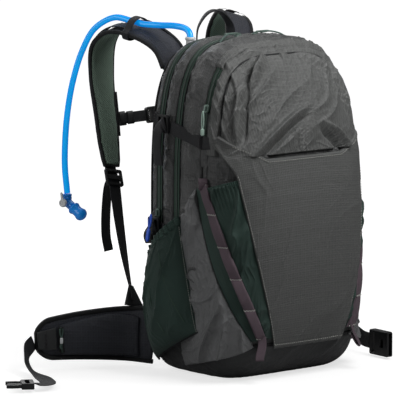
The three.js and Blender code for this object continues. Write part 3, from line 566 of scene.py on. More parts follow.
def cord(name, path, radius, look, body="pack", stands_for=(), sides=14, pitch=2.5, swell=None):
    """A round cord or tube along a path. Its frame is carried along, so it doesn't twist."""
    count = max(3, int(path.length / pitch))
    u = np.linspace(0, 1, count + 1)
    centres = path.at(u)
    ahead = path.along(u)
    side = np.cross(ahead[0], [0.3, 0.5, 0.8])
    across = []
    for way in ahead:
        side = side - way * np.dot(side, way)
        side = side / np.linalg.norm(side)
        across.append(side)
    angle = np.arange(sides) / sides * 2 * math.pi
    circle = np.stack([np.cos(angle), np.sin(angle)], -1) * radius
    rings = circle[None] * (swell(u) if swell else np.ones_like(u))[:, None, None]
    return sweep(name, centres, np.array(across), rings, look, body, stands_for)


def stitching(name, path, outward, look="thread", body="pack", pitch=4.0, length=2.8, radius=0.42):
    """A row of stitches along a path, as small rounded beads in one mesh."""
    count = max(1, int(path.length / pitch))
    u = (np.arange(count) + 0.5) / count
    centres, ahead = path.at(u), path.along(u)
    out = np.broadcast_to(outward, centres.shape)
    across = unit(np.cross(ahead, out))
    out = np.cross(across, ahead)
    points, faces = [], []
    bead = [(-0.5, 0.0), (-0.34, 0.85), (0.0, 1.0), (0.34, 0.85), (0.5, 0.0)]
    for k in range(count):
        start = len(points)
        for along, wide in bead[1:-1]:
            for turn in range(6):
                angle = turn * math.pi / 3
                offset = across[k] * math.cos(angle) + out[k] * math.sin(angle)
                points.append(centres[k] + ahead[k] * along * length + offset * wide * radius)
        points.append(centres[k] + ahead[k] * bead[0][0] * length)
        points.append(centres[k] + ahead[k] * bead[-1][0] * length)
        faces += grid(2, 6, start, wrap=True)
        for turn in range(6):
            after = (turn + 1) % 6
            faces.append((start + after, start + turn, start + 18))
            faces.append((start + 12 + turn, start + 12 + after, start + 19))
    uv = np.zeros((len(points), 2))
    return add(name, points, faces, look, body, uv=uv)


def bar_tack(name, centre, across, out, width, look="dark_thread", body="pack"):
    """A block of close zigzag stitches across a strap."""
    half = unit(np.array(across, float)) * width / 2
    ahead = unit(np.cross(out, across))
    knots = []
    for k in range(9):
        share = k / 8
        knots.append(np.array(centre) + lerp(-half, half, share) + ahead * (1.1 if k % 2 else -1.1))
    return cord(name, Path(*knots, smooth=False), 0.55, look, body, sides=6, pitch=1.2)


def turned(name, pairs, origin, axis, look, body="pack", stands_for=()):
    """A lathe-turned solid from pairs of (radius, height) along an axis from origin."""
    axis = unit(np.array(axis, float))
    side = unit(np.cross(axis, [0.31, 0.52, 0.79]))
    other = np.cross(axis, side)
    sides = 40
    points = []
    profile = [(max(radius, 0.01), height) for radius, height in pairs]
    for radius, height in profile:
        for k in range(sides):
            angle = 2 * math.pi * k / sides
            ring = side * math.cos(angle) + other * math.sin(angle)
            points.append(np.array(origin) + axis * height + ring * radius)
    faces = grid(len(profile) - 1, sides, wrap=True)
    if pairs[0] == pairs[-1]:
        last = (len(profile) - 1) * sides
        faces = [tuple(i - last if i >= last else i for i in face) for face in faces]
        points = points[:last]
    else:
        faces += [tuple(range(sides)), tuple(range((len(profile) - 1) * sides, len(profile) * sides))]
    made = add(name, points, faces, look, body, stands_for)
    soften(made, 0.35)
    return made


def soften(piece, width):
    """Rounds the sharp edges of a hard piece, and shades it smoothly between them."""
    bevel = piece.modifiers.new("edges", "BEVEL")
    bevel.width = width * MM
    bevel.segments = 2
    bevel.limit_method = "ANGLE"
    bevel.angle_limit = math.radians(35)
    bevel.use_clamp_overlap = True
    bevel.harden_normals = False
    normals = piece.modifiers.new("normals", "WEIGHTED_NORMAL")
    normals.keep_sharp = True


def settle(piece):
    """Applies a piece's modifiers to its mesh."""
    bpy.context.view_layer.update()
    graph = bpy.context.evaluated_depsgraph_get()
    mesh = bpy.data.meshes.new_from_object(piece.evaluated_get(graph))
    mesh.name = piece.name
    piece.modifiers.clear()
    piece.data = mesh


def coordinates(mesh):
    flat = np.zeros(len(mesh.vertices) * 3)
    mesh.vertices.foreach_get("co", flat)
    return flat.reshape(-1, 3)


def puff(piece, limit, held, voxel=5.0):
    """Swells a padded piece with a cloth simulation under pressure, with no gravity.

    held(points) gives from 0 to 1 how firmly each point stays where it is, such as along a seam. No point
    moves further than limit.
    """
    remesh = piece.modifiers.new("remesh", "REMESH")
    remesh.mode = "VOXEL"
    remesh.voxel_size = voxel * MM
    settle(piece)
    before = coordinates(piece.data)
    cloth = piece.modifiers.new("Cloth", "CLOTH")
    cloth.settings.quality = 5
    cloth.settings.mass = 0.3
    cloth.settings.tension_stiffness = 12
    cloth.settings.compression_stiffness = 12
    cloth.settings.bending_stiffness = 0.5
    cloth.settings.use_pressure = True
    cloth.settings.uniform_pressure_force = 4
    cloth.settings.effector_weights.gravity = 0
    group = piece.vertex_groups.new(name="seam")
    for index, weight in enumerate(held(before / MM)):
        group.add([index], float(weight), "REPLACE")
    cloth.settings.vertex_group_mass = "seam"
    for step in range(1, 21):
        bpy.context.scene.frame_set(step)
    graph = bpy.context.evaluated_depsgraph_get()
    after = coordinates(piece.evaluated_get(graph).data)
    piece.modifiers.clear()
    bpy.context.scene.frame_set(1)
    move = after - before
    far = np.linalg.norm(move, axis=1, keepdims=True)
    move = move * np.minimum(1, limit * MM / np.maximum(far, 1e-9))
    piece.data.vertices.foreach_set("co", (before + move).ravel())
    piece.data.update()
    smoother = piece.modifiers.new("smooth", "SMOOTH")
    smoother.factor, smoother.iterations = 0.5, 3
    fine = piece.modifiers.new("fine", "SUBSURF")
    fine.levels = fine.render_levels = 1
    settle(piece)
    piece.data.shade_smooth()


def map_along(piece, path, side, inner_look=None):
    """Lays cloth coordinates on a padded strap by its path. Faces towards the wearer get inner_look."""
    mesh = piece.data
    u = np.linspace(0, 1, 241)
    centres, ahead = path.at(u), path.along(u)
    across = np.array([side(k) for k in u], float)
    across = unit(across - ahead * np.sum(across * ahead, -1, keepdims=True))
    out = np.cross(across, ahead)
    points = coordinates(mesh) / MM
    nearest = np.zeros(len(points), int)
    for start in range(0, len(points), 4000):
        some = points[start:start + 4000]
        gaps = np.linalg.norm(some[:, None] - centres[None], axis=-1)
        nearest[start:start + 4000] = gaps.argmin(1)
    offset = points - centres[nearest]
    uv = np.stack([np.sum(offset * across[nearest], -1), u[nearest] * path.length], -1)
    uv[:, 1] += np.sum(offset * ahead[nearest], -1)
    lay_cloth(mesh, uv)
    if inner_look:
        mesh.materials.append(LOOKS[inner_look])
        height = np.sum(offset * out[nearest], -1)
        for face in mesh.polygons:
            if height[list(face.vertices)].mean() < 1.2:
                face.material_index = 1


def dress(node, look, width=0.5):
    """Gives a CAD piece that stays in view its material, softened edges and smooth shading."""
    piece = rest_nodes[node]
    piece.data.materials.clear()
    piece.data.materials.append(LOOKS[look])
    piece.data.polygons.foreach_set("material_index", [0] * len(piece.data.polygons))
    piece.data.shade_smooth()
    soften(piece, width)


# ---- arched bands and zips ---------------------------------------------------------------------


def arch_band(name, node, back, front, look, inner=-FABRIC, outer=0.0, start=ARCH_START - 1, belly=2.2,
              depth=2.6, seed=1, columns=420, rows=18, finish=None):
    """A band round the arch that bellies out a little and creases across from seam to seam."""
    finish = 180 - start if finish is None else finish

    def place(s, t, grow):
        return on_arch(lerp(start, finish, s), lerp(back, front, t), grow)

    def rumple(s, t, a, b):
        across = creases(b, a, 10, seed, lean=14, sharp=3) * depth * 0.8
        across = across + creases(b, a, 24, seed + 5, lean=-38, sharp=3.5) * depth
        pucker = noise(a / 4.5, b / 30, seed + 9) * 0.5 * (1 - np.sin(math.pi * t))
        return belly * np.sin(math.pi * t) + across * np.sin(math.pi * t) ** 0.4 + pucker

    return sheet(name, place, columns, rows, inner, outer, look, "pack", (node,) if node else (),
                 rumple=rumple)


def zip_band(name, node, y, half, start, columns=300):
    """Zip tape, and the coil as one ridged strip over its middle."""

    def place(s, t, grow):
        return on_arch(lerp(start, 180 - start, s), lerp(y + half, y - half, t), grow)

    def rumple(s, t, a, b):
        hem = 0.9 * np.exp(-((np.abs(t - 0.5) - 0.36) / 0.07) ** 2)
        return hem + 0.25 * noise(a / 9, t * 2, 3)

    sheet(name + "_tape", place, columns, 14, -1, 0.6, "zip_tape", "pack", (node,), rim=1.0, rumple=rumple)
    path = Path(*on_arch(np.linspace(start, 180 - start, 241), y, 1.1), smooth=False)
    pitch = 2.2
    count = int(path.length / pitch) * 4
    u = np.linspace(0, 1, count + 1)
    ridge = 1 + 0.2 * np.cos(u * path.length / pitch * 2 * math.pi)
    rings = rounded_ring(3.6, 1.5, 8, 3)[None] * ridge[:, None, None]
    sweep(name + "_coil", path.at(u), (0, 1, 0), rings, "coil")


def arch_seam(name, y, lift, radius=0.9):
    """Piping sewn round the arch at one depth."""
    path = Path(*on_arch(np.linspace(ARCH_START, 180 - ARCH_START, 181), y, lift), smooth=False)
    cord(name, path, radius, "binding", sides=8, pitch=4)


arch_band("rear_band_cloth", "rear_gusset", BACK - 0.6, RESERVOIR_ZIP + ZIP_HALF + GAP, "side_cloth",
          seed=11, belly=1.2, depth=2.0, rows=12)
arch_band("middle_band_cloth", "middle_gusset", RESERVOIR_ZIP - ZIP_HALF - GAP, MAIN_ZIP + ZIP_HALF + GAP,
          "side_cloth", seed=21, belly=3.0, depth=4.2)
arch_band("front_band_cloth", "front_gusset", MAIN_ZIP - ZIP_HALF - GAP, STASH_ZIP + STASH_ZIP_HALF + GAP,
          "side_cloth", seed=31, belly=3.0, depth=6.0, rows=30)
zip_band("reservoir_zip", "zip_reservoir", RESERVOIR_ZIP, ZIP_HALF, ARCH_START)
zip_band("main_zip", "zip_main", MAIN_ZIP, ZIP_HALF, ARCH_START)
STASH_START = 46.5                                   # degrees round the arch where the stash zip ends
zip_band("stash_zip", "zip_stash", STASH_ZIP, STASH_ZIP_HALF, STASH_START, 160)
arch_seam("back_piping", BACK - 1, 1.4, 1.8)
for label, y in (("reservoir_rear", RESERVOIR_ZIP + ZIP_HALF),
                 ("reservoir_front", RESERVOIR_ZIP - ZIP_HALF),
                 ("main_rear", MAIN_ZIP + ZIP_HALF),
                 ("main_front", MAIN_ZIP - ZIP_HALF)):
    arch_seam(f"seam_{label}", y, 0.5)


# ---- stash panel, lower front and base ---------------------------------------------------------

STASH_EDGE = STASH_ZIP - STASH_ZIP_HALF - GAP


def on_dome(around, forward, grow=0.0):
    """On the stash panel's dome: around from 0 to 180 degrees, forward from 0 at its rim to 90."""
    around, forward = np.radians(around), np.radians(forward)
    way = vec(np.cos(around) * np.cos(forward), -np.sin(forward), np.sin(around) * np.cos(forward))
    return reach(vec(0, STASH_EDGE, STASH_FLOOR), way, grow)


# Deep folds in the stash panel, each from one (x, z) to another, with its width and height.
STASH_FOLDS = (
    ((-80, 330), (14, 386), 5, 10),
    ((44, 364), (84, 324), 5, 9),
    ((-30, 474), (-74, 418), 6, 8),
    ((20, 472), (76, 436), 4, 5),
    ((-104, 352), (-84, 424), 5, 7),
    ((88, 440), (104, 380), 5, 6),
)


def piping_forward(around):
    """How far in from the stash panel's rim its piping runs, in degrees."""
    return 3.2 + 7.2 * np.cos(np.radians(around)) ** 4


def stash_panel():
    def place(s, t, grow):
        return on_dome(180 * s, 90 * t, grow)

    def rumple(s, t, a, b):
        flat = place(s, t, 0)
        x, z = flat[..., 0], flat[..., 2]
        diagonal = creases(x, z, 26, 41, lean=32, sharp=3) * 4.0
        deep = sum(fold(x, z, *line) for line in STASH_FOLDS)
        loose = np.clip(b / 45, 0, 1) * np.clip((1 - t) * 6, 0, 1) ** 0.5
        gap = (90 * t - piping_forward(180 * s)) * 2.6
        sewn = 1 - np.exp(-(gap / 3.2) ** 2)
        pucker = np.clip(noise(a / 7, gap / 60, 47) + 0.35, 0, 1.4) * 3.4 * np.exp(-(gap / 17) ** 2)
        full = 3.4 * np.sin(math.pi * np.clip(b / 200, 0, 1)) + 2.2
        return (full + (diagonal + deep) * loose + pucker) * sewn

    sheet("stash_panel_cloth", place, 280, 170, -FABRIC, 0, "shiny_ripstop", "pack", ("stash_panel",),
          rumple=rumple)


stash_panel()
around = np.linspace(2, 178, 180)
cord("stash_piping", Path(*on_dome(around, piping_forward(around), 0.4), smooth=False), 1.1, "binding",
     sides=8, pitch=2, swell=lambda u: 1 + 0.25 * noise(u * 90, 0, 5))
arch_band("stash_zip_flap", None, STASH_ZIP + STASH_ZIP_HALF + 2, STASH_EDGE - 1.5, "shiny_ripstop", 1.2,
          3.0, start=44, belly=1.6, depth=3.0, seed=37, columns=220, rows=14, finish=112)


def lower_front():
    edge = 69.4

    def place(s, t, grow):
        return on_front(lerp(-edge, edge, s), lerp(BASE_WALL - 2, STASH_FLOOR + 3, t), grow)

    def rumple(s, t, a, b):
        return creases(a, b, 18, 51, lean=-38, sharp=3) * 4.6 + creases(a, b, 11, 57, lean=-60) * 2.0

    sheet("lower_front_cloth", place, 200, 120, -FABRIC, 0, "side_cloth", "pack", ("lower_front",),
          rumple=rumple)


def base_panel():
    def place(s, t, grow):
        around, down = 2 * math.pi * s, math.pi / 2 * t
        way = vec(np.cos(around) * np.cos(down), np.sin(around) * np.cos(down), -np.sin(down))
        return reach(vec(0, 0, BASE_WALL), way, grow, is_boxed)

    def rumple(s, t, a, b):
        flat = place(s, t, 0)
        wall = np.clip(flat[..., 2] / 12, 0, 1) * np.clip((BACK - 4 - flat[..., 1]) / 8, 0, 1)
        folded = creases(flat[..., 0] + flat[..., 1], flat[..., 2], 12, 61, lean=25) * 2.6
        return folded * wall

    sheet("base_panel_cloth", place, 300, 70, -3, 0, "base_cloth", "pack", ("base_panel",), loop=True,
          rumple=rumple)


lower_front()
base_panel()


def zip_end(side, hand):
    """The patch of cloth that covers the end of the stash zip."""
    def place(s, t, grow):
        y = lerp(STASH_ZIP + STASH_ZIP_HALF + 6, STASH_EDGE - 3, s)
        return on_side(hand, y, lerp(312, 347, t), grow)

    sheet(f"zip_end_{side}", place, 16, 24, -FABRIC, 0.9, "side_cloth")


def front_seam(side, hand):
    """The turned seam where the front meets the side, under the end of the stash zip."""
    z = np.linspace(BASE_WALL - 2, STASH_FLOOR + 62, 90)
    spots = on_side(hand, STASH_EDGE + 2 + 0 * z, z, 0.2)
    sweep(f"front_seam_{side}", spots, (0, 0.6, 0.1), rounded_ring(7, 2.6, 12, 2), "side_cloth")


for side, hand in HANDS:
    zip_end(side, hand)
for side, hand in HANDS:
    front_seam(side, hand)
ahead_of_back = np.radians(np.linspace(-180, 0, 161))
rim_path = reach(vec(0, 0, BASE_WALL), vec(np.cos(ahead_of_back), np.sin(ahead_of_back), 0), 1.0)
cord("base_seam", Path(*rim_path, smooth=False), 1.5, "binding", sides=8, pitch=4)


# ---- overflow pocket ---------------------------------------------------------------------------

OVERFLOW_BOTTOM, OVERFLOW_TOP, OVERFLOW_CORNER = 46, 326, 362
OVERFLOW_RIGHT = 5.5                                 # degrees that its right edge reaches further round
CHAIN_LOW, CHAIN_HIGH = 62, 290
CHAIN_HALF_ANGLE = 3.1


def overflow_edge(hand, z):
    """The angle of the overflow panel's edge at a height. It is straight, and flares at the top corner."""
    flare = 11 * (np.maximum(0, z - 300) / 50) ** 1.5
    return 25.5 + 0.087 * (z - 52) + flare + np.where(np.asarray(hand) > 0, OVERFLOW_RIGHT, 0)


def chain_angle(hand, z):
    """A daisy chain's angle at a height. The left gusset stands open, and the right one is drawn in."""
    drawn_in = overflow_edge(1, z) + 5.6 + 2.4 * (z - CHAIN_LOW) / (CHAIN_HIGH - CHAIN_LOW)
    return drawn_in if hand > 0 else 33.5 + 0.15 * (z - CHAIN_LOW)


def on_overflow(share, t, grow=0.0):
    """On the overflow panel: share runs from -1 at the left edge to 1 at the right, and t upwards."""
    rise = np.clip((np.abs(share) - 0.56) / 0.36, 0, 1)
    cut = np.maximum(0, np.abs(share) - 0.92) / 0.08
    z = lerp(OVERFLOW_BOTTOM, lerp(OVERFLOW_TOP, OVERFLOW_CORNER, rise) - 12 * cut, t)
    return on_front(share * overflow_edge(share, np.minimum(z, 350)), z, grow)


def overflow_panel():
    def place(s, t, grow):
        return on_overflow(2 * s - 1, t, grow)

    def rumple(s, t, a, b):
        share = 2 * s - 1
        sag = 3.5 * np.sin(math.pi * s) ** 0.7 * np.sin(math.pi * np.clip(t, 0, 1)) ** 0.7
        drawn = creases(a, b, 34, 71, lean=52, sharp=3) * 3.4 * np.clip(1.1 - t, 0.15, 1)
        from_corner = (np.abs(share) - 1) ** 2 + (t - 1) ** 2
        corner = creases(a, b, 13, 75, lean=-55) * 3.0 * np.exp(-from_corner * 9)
        hem = 1.2 * np.exp(-((1 - t) * 300 / 6) ** 2)
        low = creases(b, a, 10, 79, lean=24) * 3.0 * np.exp(-t * 6) * np.clip(0.4 + share, 0, 1)
        return sag + drawn + corner + hem + low

    sheet("overflow_panel_cloth", place, 180, 190, LIFT + 1, LIFT + 3.4, "ripstop", "pack",
          ("overflow_panel",), rumple=rumple)


def overflow_line(name, share, t, lift=LIFT + 5.0, **options):
    """Contrast stitching along a line of places on the overflow panel."""
    spots = on_overflow(share, t, lift)
    stitching(name, Path(*spots, smooth=False), unit(spots.mean(0) * (1, 1, 0)), **options)


def overflow_gusset(side, hand):
    def place(s, t, grow):
        z = lerp(CHAIN_LOW, CHAIN_HIGH + lerp(8, -6, s), t)
        degrees = lerp(overflow_edge(hand, z) - 0.6, chain_angle(hand, z) - CHAIN_HALF_ANGLE + 0.6, s)
        return on_front(hand * degrees, z, grow)

    def rumple(s, t, a, b):
        turns = s * (18 if hand < 0 else 6) * math.pi + noise(b / 60, s, 81) * 1.6
        pleats = (0.5 + 0.5 * np.cos(turns)) * 1.8
        slack = creases(a * -hand, b, 18, 83, lean=-58, sharp=3) * 8.0
        slack = slack + creases(a * -hand, b, 9, 85, lean=-66) * 2.0
        return (pleats * np.clip(t * 4 - 3, 0, 1) + slack) * np.sin(math.pi * np.clip(s, 0, 1)) ** 0.4

    sheet(f"overflow_gusset_{side}_mesh", place, 60, 90, LIFT - 1, LIFT + 1, "stretch", "pack",
          (f"overflow_gusset_{side}",), rumple=rumple)
    hem = place(np.linspace(0.0, 1.0, 60), 0.985, LIFT + 1.6)
    u = np.linspace(0, 1, 120)
    gathers = 1 + 0.3 * np.sin(u * 110)
    sweep(f"overflow_hem_{side}", Path(*hem, smooth=False).at(u), (0, 0, 1),
          rounded_ring(8, 2.4, 12, 3)[None] * np.stack([np.ones_like(u), gathers], -1)[:, None], "hem")


TACKS = 5                                            # loops along each daisy chain


def border_angle(hand, z):
    """Where the stretch cloth under a daisy chain is sewn to the side panel."""
    height = np.clip((z - CHAIN_LOW) / (CHAIN_HIGH - CHAIN_LOW), 0, 1)
    spare = 6.5 + 5.0 * np.sin(math.pi * height) ** 0.8
    return chain_angle(hand, z) + (spare if hand < 0 else 4.5)


def side_panel(side, hand):
    """The slack panel of shiny cloth between the daisy chain and the bottle pocket, sewn over the base."""

    def place(s, t, grow):
        z = lerp(lerp(BASE_WALL - 2, 12, s ** 0.8), lerp(CHAIN_HIGH - 6, STASH_FLOOR - 90, s), t)
        front = border_angle(hand, z) - 0.5
        return on_front(hand * lerp(front, 89, s), z, grow)

    def rumple(s, t, a, b):
        x = a * hand
        flow = creases(x, b, 34, 63, lean=64, sharp=4) * 15.0
        flow = flow + creases(x, b, 19, 65, lean=38, sharp=4) * 7.0
        small = creases(x, b, 9, 67, lean=70, sharp=3) * 2.0
        loose = np.sin(math.pi * np.clip(s, 0, 1)) ** 0.35 * np.clip((1 - t) * 12, 0, 1) ** 0.5
        return (2.5 + flow + small) * loose

    sheet(f"side_panel_{side}", place, 90, 170, 0.3, LIFT - 0.6, "slack_cloth", rumple=rumple)
    t = np.linspace(0.02, 0.98, 90)
    edge = Path(*place(0.012, t, LIFT + 0.4), smooth=False)
    stitching(f"side_panel_stitch_{side}", edge, unit(edge.at(0.5) * (1, 1, 0)), "dark_thread", pitch=3.6)


def daisy_chain(side, hand):
    def place(s, t, grow):
        z = lerp(CHAIN_LOW, CHAIN_HIGH + 2, t)
        degrees = chain_angle(hand, z) + lerp(-CHAIN_HALF_ANGLE, CHAIN_HALF_ANGLE, s)
        return on_front(hand * degrees, z, grow)

    def rumple(s, t, a, b):
        return (3.2 if hand < 0 else 1.2) * np.abs(np.sin(math.pi * t * TACKS)) ** 0.7 + 1.2

    sheet(f"daisy_chain_{side}_web", place, 10, 150, LIFT, LIFT + WEBBING, "daisy", "pack",
          (f"daisy_chain_{side}",), rim=0.8, rumple=rumple)
    low_end = place(0.5, 0.0, LIFT + 3)
    out = unit(low_end * (1, 1, 0))
    aside = np.array((hand * 5.0, 0, 0))
    loop = Path(low_end + (0, 0, 5), low_end + out * 4 + (0, 0, -8),
                low_end + out * 8 + aside + (0, 0, -24), low_end + out * 9 + aside + (0, 0, -28),
                low_end + out * 5 + aside + (0, 0, -25), low_end + (0, 0, -10))
    sweep(f"daisy_loop_{side}", loop.at(np.linspace(0, 1, 50)), np.cross(out, (0, 0, 1)),
          rounded_ring(12.5, WEBBING), "daisy")
    high_end = place(0.5, 1.0, LIFT + 1)
    tab = Path(high_end + (0, 0, -3), high_end + out * 3 + (0, 0, 5), high_end + out * 7 + (0, 0, 2),
               high_end + out * 7 + (0, 0, -6), high_end + out * 3.4 + (0, 0, -11))
    sweep(f"daisy_end_{side}", tab.at(np.linspace(0, 1, 40)), np.cross(out, (0, 0, 1)),
          rounded_ring(12.5, WEBBING), "daisy")

    def strip_place(s, t, grow):
        z = lerp(CHAIN_LOW - 2, CHAIN_HIGH - 8, t)
        degrees = lerp(chain_angle(hand, z) - CHAIN_HALF_ANGLE, border_angle(hand, z), s)
        return on_front(hand * degrees, z, grow)

    def strip_rumple(s, t, a, b):
        return 1.6 * np.sin(math.pi * s) ** 0.5 + creases(b, a, 12, 85, lean=20) * 1.6 * (1 - s)

    sheet(f"daisy_border_{side}", strip_place, 20, 110, 0.4, LIFT - 0.4, "stretch", rumple=strip_rumple)
    for k in range(TACKS + 1):
        t = min(0.985, max(0.012, k / TACKS))
        low, high = place(0, t, LIFT + WEBBING + 1.9), place(1, t, LIFT + WEBBING + 1.9)
        out = unit(place(0.5, t, 10) - place(0.5, t, 0))
        bar_tack(f"daisy_tack_{side}_{k}", (low + high) / 2, high - low, out,
                 np.linalg.norm(high - low) * 0.92, "thread")


overflow_panel()
span = np.linspace(-0.985, 0.985, 60)
rise = np.linspace(0.02, 0.985, 60)
overflow_line("overflow_top_stitch", span, 0.985 + 0 * span, lift=LIFT + 4.8, look="thread")
overflow_line("overflow_bottom_stitch", span, 0.022 + 0 * span, lift=LIFT + 5.4, look="thread")
for side, hand in HANDS:
    overflow_line(f"overflow_edge_stitch_{side}", hand * 0.972 + 0 * rise, rise, lift=LIFT + 4.4,
                  look="thread")
    overflow_gusset(side, hand)
    daisy_chain(side, hand)
    side_panel(side, hand)


# ---- bottle pockets ----------------------------------------------------------------------------

POCKET_BULGE = 37
HEM_LIFT = 1.6


def on_pocket(hand, s, t, grow=0.0):
    y = lerp(60, lerp(-46, -5, t), s)
    z = lerp(lerp(14, 70, s), lerp(164, 236, s), t)
    fill = np.sin(math.pi * np.clip(s, 0, 1)) ** 0.8 * np.sin(math.pi * (0.85 * t ** 0.65 + 0.02)) ** 0.6
    return on_side(hand, y, z, grow + LIFT + POCKET_BULGE * fill)


def bottle_pocket(side, hand):
    def place(s, t, grow):
        return on_pocket(hand, s, t, grow)

    def rumple(s, t, a, b):
        gathers = creases(b, a, 8, 91, lean=18 * hand) * 4.4 * (0.35 + 0.65 * t)
        drape = creases(b, a, 26, 95, lean=-30 * hand, sharp=3) * 10.0 * np.sin(math.pi * t)
        return (gathers + drape) * np.sin(math.pi * np.clip(s, 0, 1)) ** 0.35

    sheet(f"bottle_pocket_{side}_mesh", place, 110, 150, 0, 2, "stretch", "pack",
          (f"bottle_pocket_{side}",), rumple=rumple)
    s = np.linspace(0, 1, 90)
    ripple = 1.3 * noise(s * 42, 0, 97)
    centres = place(s, 0.972, HEM_LIFT + ripple)
    up = unit(place(s, 0.99, 0) - place(s, 0.95, 0))
    u = np.linspace(0, 1, 90)
    thick = np.stack([np.ones_like(u), 1 + 0.25 * noise(u * 60, 0, 98)], -1)[:, None]
    sweep(f"pocket_hem_{side}", centres, up, rounded_ring(13, 3.8, 14, 3)[None] * thick, "hem")
    for k, t in enumerate((0.945, 0.995)):
        path = Path(*place(s, t, HEM_LIFT + 1.9 + ripple), smooth=False)
        stitching(f"pocket_hem_stitch_{side}_{k}", path, (hand, 0, 0), "dark_thread", pitch=3.4, length=2.4)
    for k, (top, foot) in enumerate(((0.38, 0.62), (0.66, 0.9))):
        share = np.linspace(0, 1, 40)
        dart = place(lerp(top, foot, share ** 1.3), lerp(0.93, 0.12, share), 2.4)
        cord(f"pocket_dart_{side}_{k}", Path(*dart, smooth=False), 0.9, "zip_tape", sides=8, pitch=2)
    t = np.linspace(0, 1, 60)
    cord(f"pocket_seam_{side}", Path(*place(1.0, t, 1.2), smooth=False), 1.4, "side_cloth", sides=8,
         pitch=3)
    seam = Path(*place(0.985, t, 2.6), smooth=False)
    stitching(f"pocket_seam_stitch_{side}", seam, (hand, 0, 0), "thread", pitch=3.2, length=2.2,
              radius=0.34)
    cord(f"pocket_foot_{side}", Path(*place(s, 0.0, 1.2), smooth=False), 1.5, "binding", sides=8, pitch=3)


for side, hand in HANDS:
    bottle_pocket(side, hand)


# ---- compression straps ------------------------------------------------------------------------

# Each strap's depth and height at its rear seam, at its front seam and at its ladder-lock.
LOCKS = {"upper": ((64, 374), (-51, 348), (32, 369)), "lower": ((66, 217), (30, 211), (50, 216))}


def compression_strap(level, side, hand):
    """Webbing laid on the body from seam to seam, through a ladder-lock with a hanging tail."""
    rear, front, lock = LOCKS[level]
    node = f"compression_strap_{level}_{side}"

    def place(s, t, grow):
        y, z = lerp(rear[0], front[0], t), lerp(rear[1], front[1], t)
        return on_side(hand, y, z + (s - 0.5) * STRAP_WIDTH, grow)

    def rumple(s, t, a, b):
        return 1.2 * np.sin(math.pi * t) + 0.5 * noise(t * 9, s, 101)

    sheet(node + "_web", place, 12, 60, LIFT - 0.6, LIFT - 0.6 + WEBBING, "webbing", "pack", (node,),
          rim=0.8, rumple=rumple)
    if level == "upper":
        def tab_place(s, t, grow):
            y, z = lerp(front[0], -70 if hand < 0 else -60, t), front[1] + 1 * t
            return on_side(hand, y, z + (s - 0.5) * STRAP_WIDTH, grow)

        sheet(f"compression_tab_{side}", tab_place, 12, 16, LIFT - 1.4, LIFT + 0.6, "webbing", rim=0.8)
    ends = {"rear": 0.03, "front": 0.97}
    for label, t in ends.items():
        bar_tack(f"{node}_tack_{label}", place(0.5, t, LIFT + 2.2), place(1, t, 0) - place(0, t, 0),
                 (hand, 0, 0), STRAP_WIDTH * 0.85)
    body = f"lock_{level}_{'left' if hand < 0 else 'right'}"
    top = on_side(hand, lock[0], lock[1] - 3, LIFT + 10)
    fall = 50 if level == "upper" else 14
    tail = Path(top + (0, -9, 3), top, top + (hand * 4, 3, -8), top + (hand * 4, 4, -8 - fall * 0.5),
                top + (hand * 2, 3, -8 - fall))
    u = np.linspace(0, 1, 40)
    sweep(f"compression_tail_{level}_{side}", tail.at(u), (0, 1, 0.1),
          rounded_ring(STRAP_WIDTH - 1, WEBBING), "webbing", body)


for side, hand in HANDS:
    for level in LOCKS:
        compression_strap(level, side, hand)
        dress(f"ladder_lock_{level}_{side}", "black_plastic")


# ---- back panel --------------------------------------------------------------------------------


def arched_half(z, top, half):
    """Half the width, at a height, of a flat panel with an arched top."""
    share = np.clip((z - (top - half)) / half, 0, 1)
    return half * (1 - share ** 2.6) ** 0.5


def back_panel():
    """A quilted back: raised pods of spacer mesh on a thin backing, with channels between them."""
    low, high = extent("back_panel")
    half, bottom, top = high[0], low[2], high[2]
    face = low[1]

    def place(s, t, grow):
        z = lerp(bottom, top - 0.5, t)
        return vec((2 * s - 1) * np.maximum(arched_half(z, top, half), 4), face + grow, z)

    def rumple(s, t, a, b):
        return 0.4 * noise(a / 14, b / 14, 111)

    sheet("back_panel_mesh", place, 60, 120, 0, 3.2, "back_pad", "pack", ("back_panel",), rumple=rumple)
    points, faces = [], []
    # Each pod's middle across and up, its width and its height.
    shapes = [(hand * 53, z, 84, height) for z, height in ((352, 90), (248, 96), (144, 90))
              for hand in (-1, 1)]
    shapes.append((0, 48, 196, 72))
    for x, z, width, height in shapes:
        ring = rounded_ring(width - 3, height - 3, 48, 5)
        start = len(points)
        for depth, share in ((1.5, 0.96), (4, 1.0), (7, 0.96), (9.4, 0.86), (10.4, 0.6)):
            for across, up in ring * share:
                points.append((x + across, face + depth, z + up))
        faces += grid(4, 48, start, wrap=True)
        faces += [tuple(range(start, start + 48)), tuple(range(start + 192, start + 240))]
    pods = add("back_pods", points, faces, "back_pad")
    puff(pods, 2.5, lambda p: np.clip((face + 4.5 - p[:, 1]) / 2, 0, 1))
    lay_flat(pods)
    for k, (x, z, width, height) in enumerate(shapes):
        ring = rounded_ring(width + 1, height + 1, 64, 5)
        centres = vec(x + ring[:, 0], face + 3.4, z + ring[:, 1])
        ahead = np.roll(centres, -1, 0) - centres
        sweep(f"pod_seam_{k}", centres, unit(np.cross(ahead, (0, 1, 0))), rounded_ring(2.2, 1.6, 8, 2),
              "binding", closed=True)


def lay_flat(piece):
    """Cloth coordinates straight from X and Z, for pieces on the back."""
    lay_cloth(piece.data, coordinates(piece.data)[:, [0, 2]] / MM)


